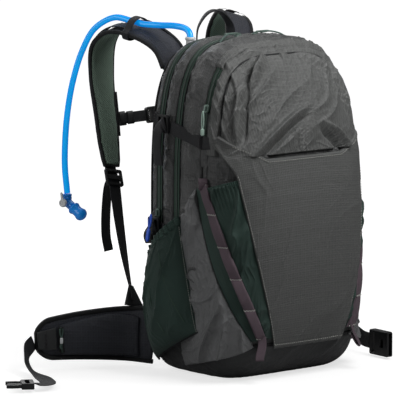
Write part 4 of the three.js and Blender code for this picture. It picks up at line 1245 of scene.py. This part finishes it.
def back_border():
    """The cloth between the body's back rim and the framesheet, with piping round its outer seam."""
    half = extent("back_panel")[1][0] + 5
    low, high = extent("framesheet")[0][2], extent("framesheet")[1][2]

    def in_frame(p, grow):
        return (np.abs(p[..., 0]) < arched_half(p[..., 2], high - 5, half)) & (p[..., 2] > low - 2)

    def place(s, t, grow):
        angle = 2 * math.pi * s - math.pi / 2
        way = vec(np.cos(angle), 0, np.sin(angle))
        rim = reach(vec(0, BACK - 2, MIDDLE), way, -0.4, is_boxed)
        inside = reach(vec(0, BACK + 2.8, MIDDLE), way, 0.0, in_frame)
        return lerp(rim, inside, np.asarray(t)[..., None]) + vec(0, grow, 0)

    sheet("back_border", place, 220, 8, 0, 1.2, "base_cloth", loop=True, rim=0.8)
    s = np.linspace(0, 1, 241)[:-1]
    sweep("back_border_piping", place(s, np.zeros_like(s), 0.8), (0, 1, 0), rounded_ring(2.8, 2.8, 10, 2),
          "binding", closed=True)


back_panel()
back_border()
dress("framesheet", "black_plastic", 0.3)


# ---- shoulder straps ---------------------------------------------------------------------------

# Each strap's path from its sewn root, over the shoulder and down the chest.
STRAPS = {
    "L": Path((-66, 90, 438), (-67, 111, 470), (-72, 162, 491), (-77, 214, 491), (-79, 245, 466),
              (-79, 250, 420), (-79, 240, 358), (-82, 228, 310), (-85, 219, 284)),
    "R": Path((66, 90, 438), (74, 108, 474), (92, 136, 499), (108, 172, 502), (115, 200, 478),
              (116, 212, 430), (112, 214, 370), (105, 208, 320), (100, 202, 284)),
}
# Where each lower webbing is sewn in.
WEB_FOOT = {"L": np.array((-131, 112, 94.0)), "R": np.array((131, 112, 94.0))}
SIDES = {"L": ("left", 1), "R": ("right", -1)}


def strap_side(hand):
    """Over the shoulder a strap leans, its outer edge low. Down the chest it faces straight back."""
    return lambda u: np.array((1, 0, hand * 0.3 * math.sin(math.pi * min(1, u / 0.6))))


def pad_width(u):
    shoulder = lerp(54, PAD_WIDTH, np.minimum(1, 3 * u))
    chest = lerp(shoulder, CHEST_WIDTH, np.clip((u - 0.5) / 0.4, 0, 1))
    return chest * np.where(u > 0.9, lerp(1, 0.8, (u - 0.9) * 10), 1)


def strap_frame(side, u):
    """Centres, directions across and outward directions of a shoulder strap."""
    path, hand = STRAPS[side], SIDES[side][1]
    u = np.atleast_1d(u)
    centres, ahead = path.at(u), path.along(u)
    across = np.array([strap_side(hand)(k) for k in u])
    across = unit(across - ahead * np.sum(across * ahead, -1, keepdims=True))
    return centres, across, np.cross(across, ahead)


def hang(piece, side):
    """A soft piece on a shoulder strap, which follows the strap: its place is baked into its mesh."""
    root = STRAPS[side].at(0)
    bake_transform(piece)


def shoulder_strap(side):
    path, hand = STRAPS[side], SIDES[side][1]
    u = np.linspace(0, 1, 90)
    centres, across, out = strap_frame(side, u)
    rings = np.array([rounded_ring(pad_width(k) - 3, PAD_THICK - 2.5, 28, 3.2) for k in u])
    pad = sweep(f"shoulder_strap_{side}_pad", centres, across, rings, "pad", None,
                (f"shoulder_strap_{side}",))

    def held(points):
        gaps = np.linalg.norm(points[:, None] - centres[None], axis=-1)
        near = gaps.argmin(1)
        sideways = np.abs(np.sum((points - centres[near]) * across[near], -1))
        return np.clip((sideways - (pad_width(u[near]) / 2 - 6)) / 3, 0, 1)

    puff(pad, 3.0, held, voxel=4.5)
    map_along(pad, path, strap_side(hand), "air_mesh")
    hang(pad, side)

    edge = np.linspace(0.015, 0.975, 120)
    spots, over, out_edge = strap_frame(side, edge)
    wide = over * (pad_width(edge) / 2 - 2.4)[:, None]
    tip, tip_over, tip_out = strap_frame(side, 0.998)
    loop = np.concatenate([spots - wide, tip - tip_over * 13, tip + tip_over * 13, (spots + wide)[::-1]])
    facing = np.concatenate([-over, -tip_over, tip_over, over[::-1]])
    leaves = np.concatenate([out_edge, tip_out, tip_out, out_edge[::-1]])
    binding = sweep(f"strap_binding_{side}", loop + leaves * 1.5, facing, rounded_ring(5.2, 6.6, 14, 2.6),
                    "binding", None)
    hang(binding, side)

    lanes = np.linspace(0.05, 0.9, 100)
    for label, share in (("inner", -0.34), ("outer", 0.34)):
        spots, over, out = strap_frame(side, lanes)
        sideways = over * share * pad_width(lanes)[:, None]
        line = Path(*(spots + sideways + out * (PAD_THICK / 2 + 0.9)), smooth=False)
        row = stitching(f"strap_stitch_{label}_{side}", line, out.mean(0), "dark_thread", None, pitch=5,
                        length=3.6)
        hang(row, side)

    lane = np.linspace(0.3, 0.86, 80)
    spots, over, out = strap_frame(side, lane)
    shift = -0.17 * PAD_WIDTH if side == "L" else 0.0
    ladder = sweep(f"strap_ladder_{side}", spots + over * shift + out * (PAD_THICK / 2 + 1.6), over,
                   rounded_ring(STRAP_WIDTH - 3, 1.6), "webbing", None)
    hang(ladder, side)


def strap_webbing(side):
    """The adjuster webbing from a strap's ladder-lock down to the base corner, with a loose tail."""
    path, (word, hand) = STRAPS[side], SIDES[side]
    end = path.at(1.0)
    foot = WEB_FOOT[side]
    down = unit(foot - end)
    start = end + down * 22
    way = Path(start, lerp(start, foot, 0.33) + (0, 3, -4), lerp(start, foot, 0.66) + (0, 3, -5), foot)
    u = np.linspace(0, 1, 70)
    across = lerp(np.array((1.0, 0, 0)), np.array((0.6, 0.8 * hand, 0)), (u ** 1.5)[:, None])
    web = sweep(f"strap_webbing_{side}_web", way.at(u), across, rounded_ring(STRAP_WIDTH, WEBBING),
                "webbing", None, (f"strap_webbing_{side}",))
    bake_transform(web)
    lock = end + down * 20
    tail = Path(lock + (0, 4, 0), lock + (0, 12, -10), lock + (hand * -3, 15, -45),
                lock + (hand * -6, 12, -88), lock + (hand * -4, 8, -112))
    u = np.linspace(0, 1, 50)
    sweep(f"strap_tail_{side}", tail.at(u), (1, 0.1, 0), rounded_ring(STRAP_WIDTH - 1, WEBBING), "webbing",
          f"strap_lock_{word}")
    hook = Path(end + down * -14 + (0, 3, 0), end + down * 6 + (0, 5, 0), lock + down * -5 + (0, 3.4, 0))
    sweep(f"strap_lock_loop_{side}", hook.at(np.linspace(0, 1, 24)), (1, 0, 0),
          rounded_ring(STRAP_WIDTH, WEBBING + 1), "webbing", f"strap_{word}")
    patch = Path(foot + down * -26, foot + down * -10, foot + down * 6)
    sweep(f"strap_foot_{side}", patch.at(np.linspace(0, 1, 20)), (1, 0, 0),
          np.array([rounded_ring(lerp(8, STRAP_WIDTH + 14, k), 3.2) for k in np.linspace(0, 1, 20)]),
          "base_cloth")


for side in SIDES:
    shoulder_strap(side)
    strap_webbing(side)
    dress(f"strap_ladder_lock_{side}", "black_plastic")


# ---- grab handle and tube port -----------------------------------------------------------------


def grab_handle():
    low, high = extent("grab_handle")
    y, top = (low[1] + high[1]) / 2, high[2] - 1.5
    spread, foot = 34, 478
    path = Path((-spread, y, foot), (-spread + 3, y, foot + 22), (-15, y, top - 5), (0, y, top),
                (15, y, top - 5), (spread - 3, y, foot + 22), (spread, y, foot))
    u = np.linspace(0, 1, 90)
    wide = np.array([rounded_ring(lerp(14, 10, math.sin(math.pi * k) ** 1.5),
                                  lerp(2.4, 3.8, math.sin(math.pi * k) ** 1.5), 16, 3) for k in u])
    splayed = vec(0.64 * np.cos(math.pi * u), 0.77, 0)
    loop = sweep("grab_handle_web", path.at(u), splayed, wide, "webbing", None, ("grab_handle",))
    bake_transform(loop)


def port_tab():
    """A triangular patch that reinforces the cloth round the tube's exit."""
    centre = PORT

    def place(s, t, grow):
        angle = 2 * math.pi * s
        corner = 1 + 0.18 * np.cos(3 * angle)
        reach_out = lerp(7.2, 15, t) * corner
        x = centre[0] + reach_out * np.cos(angle)
        y = np.minimum(centre[1] + reach_out * np.sin(angle), BACK - 1)
        return reach(vec(x, y, MIDDLE), vec(0, 0, 1), grow)

    sheet("port_patch", place, 60, 6, 0.2, 2.0, "base_cloth", loop=True, rim=1.0)


grab_handle()
port_tab()
port_bush = [(TUBE_RADIUS + 0.3, -12), (6.3, -12), (6.3, 7), (7.8, 8), (7.8, 10.5), (6.6, 12),
             (TUBE_RADIUS + 0.3, 12), (TUBE_RADIUS + 0.3, -12)]
turned("tube_port_bush", port_bush, PORT, (0, 0, 1), "grey_plastic", "pack", ("tube_port",))


# ---- drinking tube and bite valve --------------------------------------------------------------

ELBOW = np.array((-110, 297, 222.0))
VALVE_WAY = unit(np.array((0.23, -0.8, -0.55)))
LEVER_AXIS = unit(np.cross(VALVE_WAY, (0, 0, 1)))
TUBE_PLANE = PORT[1]
KEEPER_AT = 0.28


def over_strap(u):
    """On the outer face of the left strap, clear of it by the tube's radius."""
    centre, _, out = strap_frame("L", u)
    return (centre + out * (PAD_THICK / 2 + TUBE_RADIUS + 2))[0]


def drink_tube():
    x, y, z = PORT
    low = extent("drink_tube")[0][2]
    path = Path((0, TUBE_PLANE, low), (0, TUBE_PLANE, 160), (-30, TUBE_PLANE, 215),
                (-58, TUBE_PLANE, 275), (x, y, 340), (x, y, 430), (x, y, z - 16), (x, y, z),
                (x, y, z + 13), (x, y + 4, z + 20), (-64, 73, 502), (-66, 94, 504), (-69, 124, 503),
                *[over_strap(KEEPER_AT + k) for k in (-0.03, 0, 0.03)], (-85, 213, 509), (-95, 248, 490),
                (-102, 270, 454), (-108, 284, 410), (-111, 292, 371), (-112, 298, 326), (-112, 300, 278),
                ELBOW + (0, 0, 14))
    tube = cord("drink_tube_silicone", path, TUBE_RADIUS, "tube_blue", None, ("drink_tube",), sides=24,
                pitch=2.5)
    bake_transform(tube)


def shut_off():
    """The tube's elbow, its shut-off lever and the soft bite valve."""
    # The upright is ribbed twice, to grip the tube.
    ribbed_body = [(0, -7), (4.4, -6.8), (6.4, -5), (7, -2), (7, 3), (6.5, 3.6), (6.5, 5), (7, 5.6),
                   (7, 7.4), (6.5, 8), (6.5, 9.4), (7, 10), (7, 12.4), (6.4, 13), (0, 13)]
    turned("shutoff_upright", ribbed_body, ELBOW, (0, 0, 1), "blue_plastic", "strap_left",
           ("shutoff_body",))
    turned("shutoff_spout", [(0, -1), (6.8, -1), (6.8, 11), (4.6, 12), (4.6, 19.5), (0, 20)], ELBOW,
           VALVE_WAY, "blue_plastic", "strap_left")
    turned("shutoff_boss", [(0, 0), (5, 0), (5, 8.4), (0, 8.5)], ELBOW, LEVER_AXIS, "blue_plastic",
           "strap_left")
    base = ELBOW + LEVER_AXIS * 8.9
    turned("shutoff_knob", [(0, 0), (6.4, 0), (6.4, 3.8), (5.4, 5), (4.2, 5), (3.6, 4.2), (0, 4.2)], base,
           LEVER_AXIS, "grey_plastic", "lever", ("shutoff_lever",))
    lean = unit(VALVE_WAY * -0.25 + (0, 0, 1))
    u = np.linspace(0, 1, 16)
    arm = base + LEVER_AXIS * 2.6 + lean * (u * 17)[:, None]
    wide = np.array([rounded_ring(lerp(5.0, 3.6, k), lerp(3.4, 2.6, k), 14, 3)
                     * min(1, 0.35 + 5 * (1 - k)) for k in u])
    sweep("shutoff_arm", arm, np.cross(lean, LEVER_AXIS), wide, "grey_plastic", "lever")
    start = ELBOW + VALVE_WAY * 12.5
    # A soft skin with a waist, a lip at its end and a hollow that fits over the spout.
    sheath = [(5, 0), (8.6, 0), (9.6, 1.4), (10, 3), (9.2, 5), (8.4, 7), (8.2, 10), (8.5, 13),
              (9.6, 16), (10, 18.4), (9.2, 21), (7.6, 23.4), (5, 25.2), (2, 25.9), (0.6, 25.6),
              (0.3, 24.6), (0, 10), (5, 10), (5, 0)]
    turned("bite_valve_sheath", sheath, start, VALVE_WAY, "blue_rubber", "bite", ("bite_valve",))


def tube_keeper():
    """An elastic band round the left strap that holds the tube on its outer face."""
    centre, across, out = [x[0] for x in strap_frame("L", KEEPER_AT)]
    ahead = STRAPS["L"].along(KEEPER_AT)
    low, high = -PAD_THICK / 2 - 1.4, PAD_THICK / 2 + 2 * TUBE_RADIUS + 3.4
    half = pad_width(KEEPER_AT) / 2 + 0.6
    loop = [(-half, low + 3), (-half + 3, low), (half - 3, low), (half, low + 3), (half, 4),
            (half - 7, 8.5), (11, high - 3), (5, high), (-5, high), (-11, high - 3), (-half + 7, 8.5),
            (-half, 4)]
    knots = [centre + across * x + out * y for x, y in loop]
    path = Path(*knots, knots[0])
    u = np.linspace(0, 1, 97)[:-1]
    sweep("tube_keeper_band", path.at(u), ahead, rounded_ring(14, 1.6), "webbing", "strap_left",
          ("tube_keeper",), closed=True)


drink_tube()
shut_off()
tube_keeper()
dress("hose_connector", "blue_plastic")


# ---- sternum strap -----------------------------------------------------------------------------

STERNUM_AT = {"L": 0.81, "R": 0.79}                  # how far down each shoulder strap
STERNUM_GAP = 5.8                                    # from the strap's edge to the webbing's end
# Each webbing's direction and length.
STERNUM = {"L": ((1, -0.18, 0.06), 44), "R": ((-1, -0.1, -0.5), 38)}


def sternum_strap(side):
    word, hand = SIDES[side]
    way, length = unit(np.array(STERNUM[side][0])), STERNUM[side][1]
    centre = strap_frame(side, STERNUM_AT[side])[0][0]
    tangent = STRAPS[side].along(STERNUM_AT[side])
    edge = unit(np.array((hand, 0, 0)) - tangent * hand * tangent[0])
    start = centre + edge * (pad_width(STERNUM_AT[side]) / 2 + STERNUM_GAP)
    body = f"sternum_{word}"
    u = np.linspace(0, 1, 30)
    path = Path(start, start + way * length / 2, start + way * (length + 2))
    sweep(f"sternum_strap_{side}_web", path.at(u), tangent, rounded_ring(17, 2.4, 16, 3), "webbing", body,
          (f"sternum_strap_{side}",))
    u = np.linspace(0, 1, 8)
    keeper = Path(start + way * 12, start + way * 17, start + way * 22)
    sweep(f"sternum_keeper_{side}", keeper.at(u), tangent, rounded_ring(20, 5.0, 16, 4), "black_plastic",
          body)
    hook = Path(start - way * 2, start + way * 3, start + way * 8)
    sweep(f"sternum_hook_{side}", hook.at(u), tangent, rounded_ring(22, 6.0, 16, 4), "black_plastic",
          body)
    lane = np.linspace(STERNUM_AT[side] - 0.11, STERNUM_AT[side] + 0.07, 30)
    rail = STRAPS[side].at(lane) + edge * (pad_width(lane) / 2 + 1.6)[:, None]
    cord(f"sternum_rail_{side}", Path(*rail, smooth=False), 1.7, "binding", f"strap_{word}", sides=10,
         pitch=2)


for side in SIDES:
    sternum_strap(side)
dress("sternum_buckle_female", "black_plastic", 0.7)
dress("sternum_buckle_male", "black_plastic", 0.7)


# ---- hip wings ---------------------------------------------------------------------------------

# Each wing's path from its sewn root to its tip, and its webbing's from the tip to the buckle.
WINGS = {
    "L": Path((-116, 81, 46), (-140, 116, 47), (-196, 150, 46), (-264, 176, 42)),
    "R": Path((116, 81, 46), (150, 112, 46), (192, 84, 44), (196, 16, 40)),
}
HIP_WEB = {
    "L": Path((-269, 177, 40), (-286, 171, 29), (-301, 146, 12), (-318, 96, 6), (-341, 50, 6),
              (-356, 38, 7), (-368, 40, 8)),
    "R": Path((196.5, 9, 38), (199, -12, 30), (199, -34, 22), (196, -52, 21)),
}
ZIP_ALONG_WING = 0.8                                 # where the wing pocket's zip stands
HIP_TWIST = {"L": 1.6, "R": 0.0}                     # how soon the webbing turns from upright to flat


def wing_height(u):
    return lerp(84, 58, u ** 1.4)


def wing_outline(u):
    """The wing's height with its tip rounded off."""
    return wing_height(u) * (1 - 0.5 * np.clip((u - 0.86) / 0.14, 0, 1) ** 2.4)


def wing_thick(u):
    return lerp(13, 9, u)


def wing_frame(side, u):
    path = WINGS[side]
    u = np.atleast_1d(u)
    centres, ahead = path.at(u), path.along(u)
    up = np.broadcast_to((0.0, 0.0, 1.0), centres.shape)
    up = unit(up - ahead * np.sum(up * ahead, -1, keepdims=True))
    outward = np.cross(up, ahead)
    return centres, up, outward * (1 if side == "L" else -1)


def wing_blend(piece, side):
    root = WINGS[side].at(0)
    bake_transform(piece)


def hip_wing(side):
    path = WINGS[side]
    u = np.linspace(0, 1, 70)
    centres, up, outward = wing_frame(side, u)
    rings = np.array([rounded_ring(wing_outline(k) - 4, wing_thick(k) - 2.5, 32, 3.4) for k in u])
    wing = sweep(f"hip_wing_{side}_pad", centres, up, rings, "pad", None, (f"hip_wing_{side}",))

    def held(points):
        gaps = np.linalg.norm((points[:, None] - centres[None])[..., :2], axis=-1)
        near = gaps.argmin(1)
        high = np.abs(points[:, 2] - centres[near][:, 2])
        return np.clip((high - (wing_outline(u[near]) / 2 - 7)) / 3, 0, 1)

    puff(wing, 4.0, held, voxel=4.5)
    map_along(wing, path, lambda k: np.array((0, 0, 1.0)))
    wing_blend(wing, side)

    edge = np.linspace(0.01, 0.985, 90)
    spots, over, _ = wing_frame(side, edge)
    high = over * (wing_outline(edge) / 2 - 2.2)[:, None]
    tip, tip_over, _ = wing_frame(side, 0.998)
    loop = np.concatenate([spots + high, tip + tip_over * 11, tip - tip_over * 11, (spots - high)[::-1]])
    facing = np.concatenate([over, tip_over, -tip_over, -over[::-1]])
    binding = sweep(f"wing_binding_{side}", loop, facing, rounded_ring(7, 7.5, 14, 3), "binding", None)
    wing_blend(binding, side)

    def pocket_place(s, t, grow):
        k = lerp(0.12, ZIP_ALONG_WING, s)
        centres, up, outward = wing_frame(side, k.ravel())
        high = (wing_height(k) * lerp(-0.40, 0.30 + 0.1 * np.sin(math.pi * s ** 0.7), t)).ravel()[:, None]
        off = (wing_thick(k) / 2 + grow).ravel()[:, None]
        return (centres + up * high + outward * off).reshape(k.shape + (3,))

    def pocket_rumple(s, t, a, b):
        full = np.sin(math.pi * s) ** 0.5 * np.sin(math.pi * t) ** 0.6
        gathered = creases(a, b, 9, 121, lean=0) * 3.2 * np.exp(-(1 - s) * 5)
        return (6.5 + gathered + creases(a, b, 15, 123, lean=12) * 2.0) * full

    pocket = sheet(f"wing_pocket_{side}", pocket_place, 110, 60, -1.0, 1.2, "pad", None,
                   rumple=pocket_rumple)
    wing_blend(pocket, side)
    body = f"wing_{SIDES[side][0]}"
    t = np.linspace(0.1, 0.94, 60)
    line = pocket_place(1.0 + 0 * t, t, 2.6)
    ahead = WINGS[side].along(ZIP_ALONG_WING)
    sweep(f"wing_zip_{side}", line, ahead, rounded_ring(9, 1.8, 12, 3), "binding", body)
    outward = wing_frame(side, ZIP_ALONG_WING)[2][0]
    sweep(f"wing_zip_coil_{side}", line + outward, ahead, rounded_ring(2.6, 1.4, 8, 2), "coil", body)
    start = line[-4] + outward * 3
    for k, spread in enumerate((-1, 1)):
        leg = Path(start + ahead * spread * 2.4, start + ahead * spread * 2.2 + (0, 0, -6),
                   start + outward + (0, 0, -14))
        cord(f"wing_pull_{side}_{k}", leg, 0.9, "dark_cord", body, sides=8, pitch=1)
    turned(f"wing_bead_{side}", [(0, 0), (1.9, 0.4), (2.3, 2), (2.3, 7), (1.9, 9), (0, 9.4)],
           start + outward + (0, 0, -13), (0, 0, -1), "grey_plastic", body)
    tail = Path(start + outward + (0, 0, -22), start + outward + ahead * 2 + (0, 0, -27),
                start + outward - ahead + (0, 0, -30))
    cord(f"wing_tail_{side}", tail, 1.3, "dark_cord", body, sides=8, pitch=1)


def hip_webbing(side):
    path = HIP_WEB[side]
    u = np.linspace(0, 1, 90)
    upright = np.array((0, 0, 1.0))
    turned_over = np.clip(HIP_TWIST[side] * u, 0, 1)[:, None]
    across = lerp(upright, np.cross(path.along(u), upright), turned_over)
    body = f"wing_{SIDES[side][0]}"
    sweep(f"hip_webbing_{side}_web", path.at(u), across, rounded_ring(STRAP_WIDTH + 4, WEBBING),
          "webbing", body, (f"hip_webbing_{side}",))
    share = np.linspace(0, 1, 16)
    wing_end, up, outward = wing_frame(side, lerp(0.84, 1.0, share))
    sweep(f"wing_patch_{side}", wing_end + outward * (wing_thick(1) / 2 + 1.4), up,
                  np.array([rounded_ring(lerp(34, STRAP_WIDTH + 6, k), 2.6) for k in share]),
                  "base_cloth", body)
    bar_tack(f"wing_tack_{side}", WINGS[side].at(0.93) + outward[8] * (wing_thick(1) / 2 + 3.4), up[8],
             outward[8], 24, "dark_thread", body)


for side in SIDES:
    hip_wing(side)
    hip_webbing(side)
dress("hip_buckle_male", "black_plastic", 0.8)
dress("hip_buckle_female", "black_plastic", 0.8)


# ---- reservoir ---------------------------------------------------------------------------------


def reservoir():
    """A welded film bag with a flat seam round a full middle, and its screw cap."""
    low, high = extent("reservoir_bag")
    centre = (low + high) / 2
    y = high[1] - 13
    half_wide, half_tall = (high[0] - low[0]) / 2, (high[2] - low[2]) / 2

    def place(s, t, grow):
        angle = 2 * math.pi * s
        squash = 2 / 4.5
        x = np.sign(np.cos(angle)) * np.abs(np.cos(angle)) ** squash
        z = np.sign(np.sin(angle)) * np.abs(np.sin(angle)) ** squash
        inward = np.sin(math.pi / 2 * t)
        full = 12.2 * np.sign(grow) * np.clip(1.08 - inward ** 6 - 0.08, 0, 1) ** 0.5
        full = np.where(inward > 0.94, 0.5 * np.sign(grow), full)
        return vec(centre[0] + x * half_wide * inward, y + full, centre[2] + z * half_tall * inward)

    s, t = np.meshgrid(np.linspace(0, 1, 97)[:-1], np.linspace(0.02, 1, 30))
    front, back = place(s, t, -1.0), place(s, t, 1.0)
    points = np.concatenate([front.reshape(-1, 3), back.reshape(-1, 3)])
    count = s.size
    faces = grid(29, 96, wrap=True) + grid(29, 96, count, wrap=True)
    last = 29 * 96
    faces += [(last + i, last + (i + 1) % 96, last + (i + 1) % 96 + count, last + i + count)
              for i in range(96)]
    faces += [tuple(range(96)), tuple(range(count, count + 96))]
    uv = points[:, [0, 2]]
    add("reservoir_bag_film", points, faces, "clear_blue", "pack", ("reservoir_bag",), uv)
    cap_low, cap_high = extent("reservoir_cap")
    middle = (cap_low + cap_high) / 2
    turned("reservoir_collar", [(36.8, -7), (44, -7), (45, -6), (45, 3), (37, 3.4), (36.8, -7)],
           (middle[0], y - 13, middle[2]), (0, 1, 0), "blue_plastic")


reservoir()
dress("reservoir_cap", "blue_plastic", 0.6)


def sleeve():
    low, high = extent("reservoir_sleeve")
    half, bottom, top = high[0], low[2], high[2]

    def place(s, t, grow):
        z = lerp(bottom, top - 0.5, t)
        return vec((2 * s - 1) * np.maximum(arched_half(z, top, half), 5), low[1] + grow, z)

    sheet("reservoir_sleeve_cloth", place, 50, 60, 0.2, 1.4, "sleeve", "pack", ("reservoir_sleeve",),
          rumple=lambda s, t, a, b: creases(a, b, 22, 131, lean=70) * 0.8)


sleeve()


# ---- zip sliders and pulls ---------------------------------------------------------------------


def pull(name, node, body, top, drop, look, thick=1.4, tab=(6.4, 4.4), tab_share=0.5):
    """A looped cord with a moulded grip at its end, hanging from a slider."""
    top, drop = np.array(top, float), np.array(drop, float)
    side = unit(np.cross(drop, (1, 0, 0)) + np.cross(drop, (0, 1, 0)) * 0.01)
    joint = top + drop * (1 - tab_share)
    for k, hand in enumerate((-1, 1)):
        leg = Path(top, top + drop * 0.12 + side * hand * 1.6, joint - drop * 0.08 + side * hand * 1.4,
                   joint)
        cord(f"{name}_leg_{k}", leg, thick * 0.7, look, body, (node,) if k == 0 else (), sides=10,
             pitch=1.0)
    u = np.linspace(0, 1, 24)
    grip = joint[None] + (drop * tab_share)[None] * u[:, None]
    shape = np.array([rounded_ring(tab[0], tab[1], 16, 3) * min(1, 0.45 + 3.2 * min(k, 1 - k))
                      for k in u])
    sweep(f"{name}_grip", grip, side, shape, look, body)


for node in ("slider_reservoir", "slider_stash", "slider_main_L", "slider_main_R"):
    dress(node, "slider_metal", 0.35)
low, high = extent("pull_reservoir")
pull("reservoir_pull", "pull_reservoir", "reservoir_pull",
     ((low[0] + high[0]) / 2 + 2, (low[1] + high[1]) / 2, high[2]), (-8, 0, -40), "pull_blue", thick=2.0)
low, high = extent("pull_stash")
pull("stash_pull", "pull_stash", "stash_pull",
     ((low[0] + high[0]) / 2, (low[1] + high[1]) / 2, high[2]), (-1, 0, -36), "pull_cord", tab_share=0.3,
     tab=(5, 5))
for side, hand, body in (("L", -1, "main_slider_left"), ("R", 1, "main_slider_right")):
    low, high = extent(f"slider_main_{side}")
    start = ((low + high) / 2) * (1, 1, 0) + (0, 0, high[2] - 3)
    loop = Path(start, start + (hand * 14, -5, 1.5), start + (hand * 30, -12, -3),
                start + (hand * 38, -14, -9))
    cord(f"main_pull_{side}", loop, 1.3, "dark_cord", body, sides=10, pitch=1.2)


# ---- studio ------------------------------------------------------------------------------------

VIEW_AZIMUTH, VIEW_ELEVATION, DISTANCE = -40.0, 8.0, 6.0
AIM_RIGHT, AIM_UP = -0.073, 0.245                    # where the lens is aimed, across and above the origin
AMBIENT = 0.13


def studio():
    azimuth, elevation = math.radians(VIEW_AZIMUTH), math.radians(VIEW_ELEVATION)
    back = np.array((math.sin(azimuth) * math.cos(elevation), -math.cos(azimuth) * math.cos(elevation),
                     math.sin(elevation)))
    right = np.array((math.cos(azimuth), math.sin(azimuth), 0))
    up = np.cross(back, right)
    target = right * AIM_RIGHT + up * AIM_UP
    lens = bpy.data.cameras.new("camera")
    lens.sensor_width = 36
    lens.lens = 60.3 * DISTANCE                      # keeps the pack the same size at any distance
    camera = bpy.data.objects.new("camera", lens)
    camera.matrix_world = np_matrix(right, up, back, target + back * DISTANCE)
    bpy.context.scene.collection.objects.link(camera)
    bpy.context.scene.camera = camera

    for name, way, far, size, power in (("key", right * 0.75 + up * 1.1 + back * 0.75, 0.85, 0.5, 6.5),
                                        ("fill", right * -1.4 + up * 0.5 + back * 0.5, 1.4, 0.8, 4.6),
                                        ("top", up * 1.6 + back * -0.3, 1.2, 0.7, 3.0),
                                        ("rim", right * -0.8 + up * 0.7 + back * -1.2, 1.4, 1.0, 6)):
        light = bpy.data.lights.new(name, "AREA")
        light.energy, light.size = power, size
        holder = bpy.data.objects.new(name, light)
        spot = unit(way) * far + np.array((0, 0, 0.26))
        z = unit(spot - np.array((0, 0, 0.25)))
        x = unit(np.cross((0, 0, 1.0001), z + np.array((1e-4, 0, 0))))
        holder.matrix_world = np_matrix(x, np.cross(z, x), z, spot)
        bpy.context.scene.collection.objects.link(holder)

    world = bpy.context.scene.world or bpy.data.worlds.new("world")
    bpy.context.scene.world = world
    world.use_nodes = True
    nodes, links = world.node_tree.nodes, world.node_tree.links
    background = nodes["Background"]
    background.inputs["Color"].default_value = (1, 1, 1, 1)
    seen = nodes.new("ShaderNodeLightPath").outputs["Is Camera Ray"]
    strength = nodes.new("ShaderNodeMapRange")       # white to the camera, dimmer as light
    strength.inputs[3].default_value, strength.inputs[4].default_value = AMBIENT, 1.0
    links.new(seen, strength.inputs[0])
    links.new(strength.outputs[0], background.inputs["Strength"])
    bpy.context.scene.view_settings.view_transform = "Standard"

    half = 60.0
    mesh = bpy.data.meshes.new("floor")
    mesh.from_pydata([(-half, -half, 0), (half, -half, 0), (half, half, 0), (-half, half, 0)], [],
                     [(0, 1, 2, 3)])
    floor = bpy.data.objects.new("floor", mesh)
    floor.location = (0, 0, -0.0015)
    pale = Look("floor", Roughness=0.9, Specular_IOR_Level=0.1, Emission_Color=(1, 1, 1, 1))
    tint = pale.mix(pale.mottle(400, 2.0), shade(176, 176, 176), shade(182, 182, 182))
    away = pale.node("VectorMath", {0: pale.spot}, operation="LENGTH").outputs["Value"]
    glow = pale.node("MapRange", {0: away, 1: 0.3, 2: 1.2, 3: 0.7, 4: 1.0}).outputs[0]
    seen = pale.math("MULTIPLY", glow, pale.node("LightPath").outputs["Is Camera Ray"])
    pale.tree.links.new(seen, pale.shader.inputs["Emission Strength"])   # white right out to the horizon
    mesh.materials.append(pale.finish(tint, pale.mottle(3, 2.0), 0.02))
    bpy.context.scene.collection.objects.link(floor)


def np_matrix(x, y, z, origin):
    rows = np.eye(4)
    rows[:3, 0], rows[:3, 1], rows[:3, 2], rows[:3, 3] = x, y, z, origin
    return Matrix(rows.tolist())


studio()
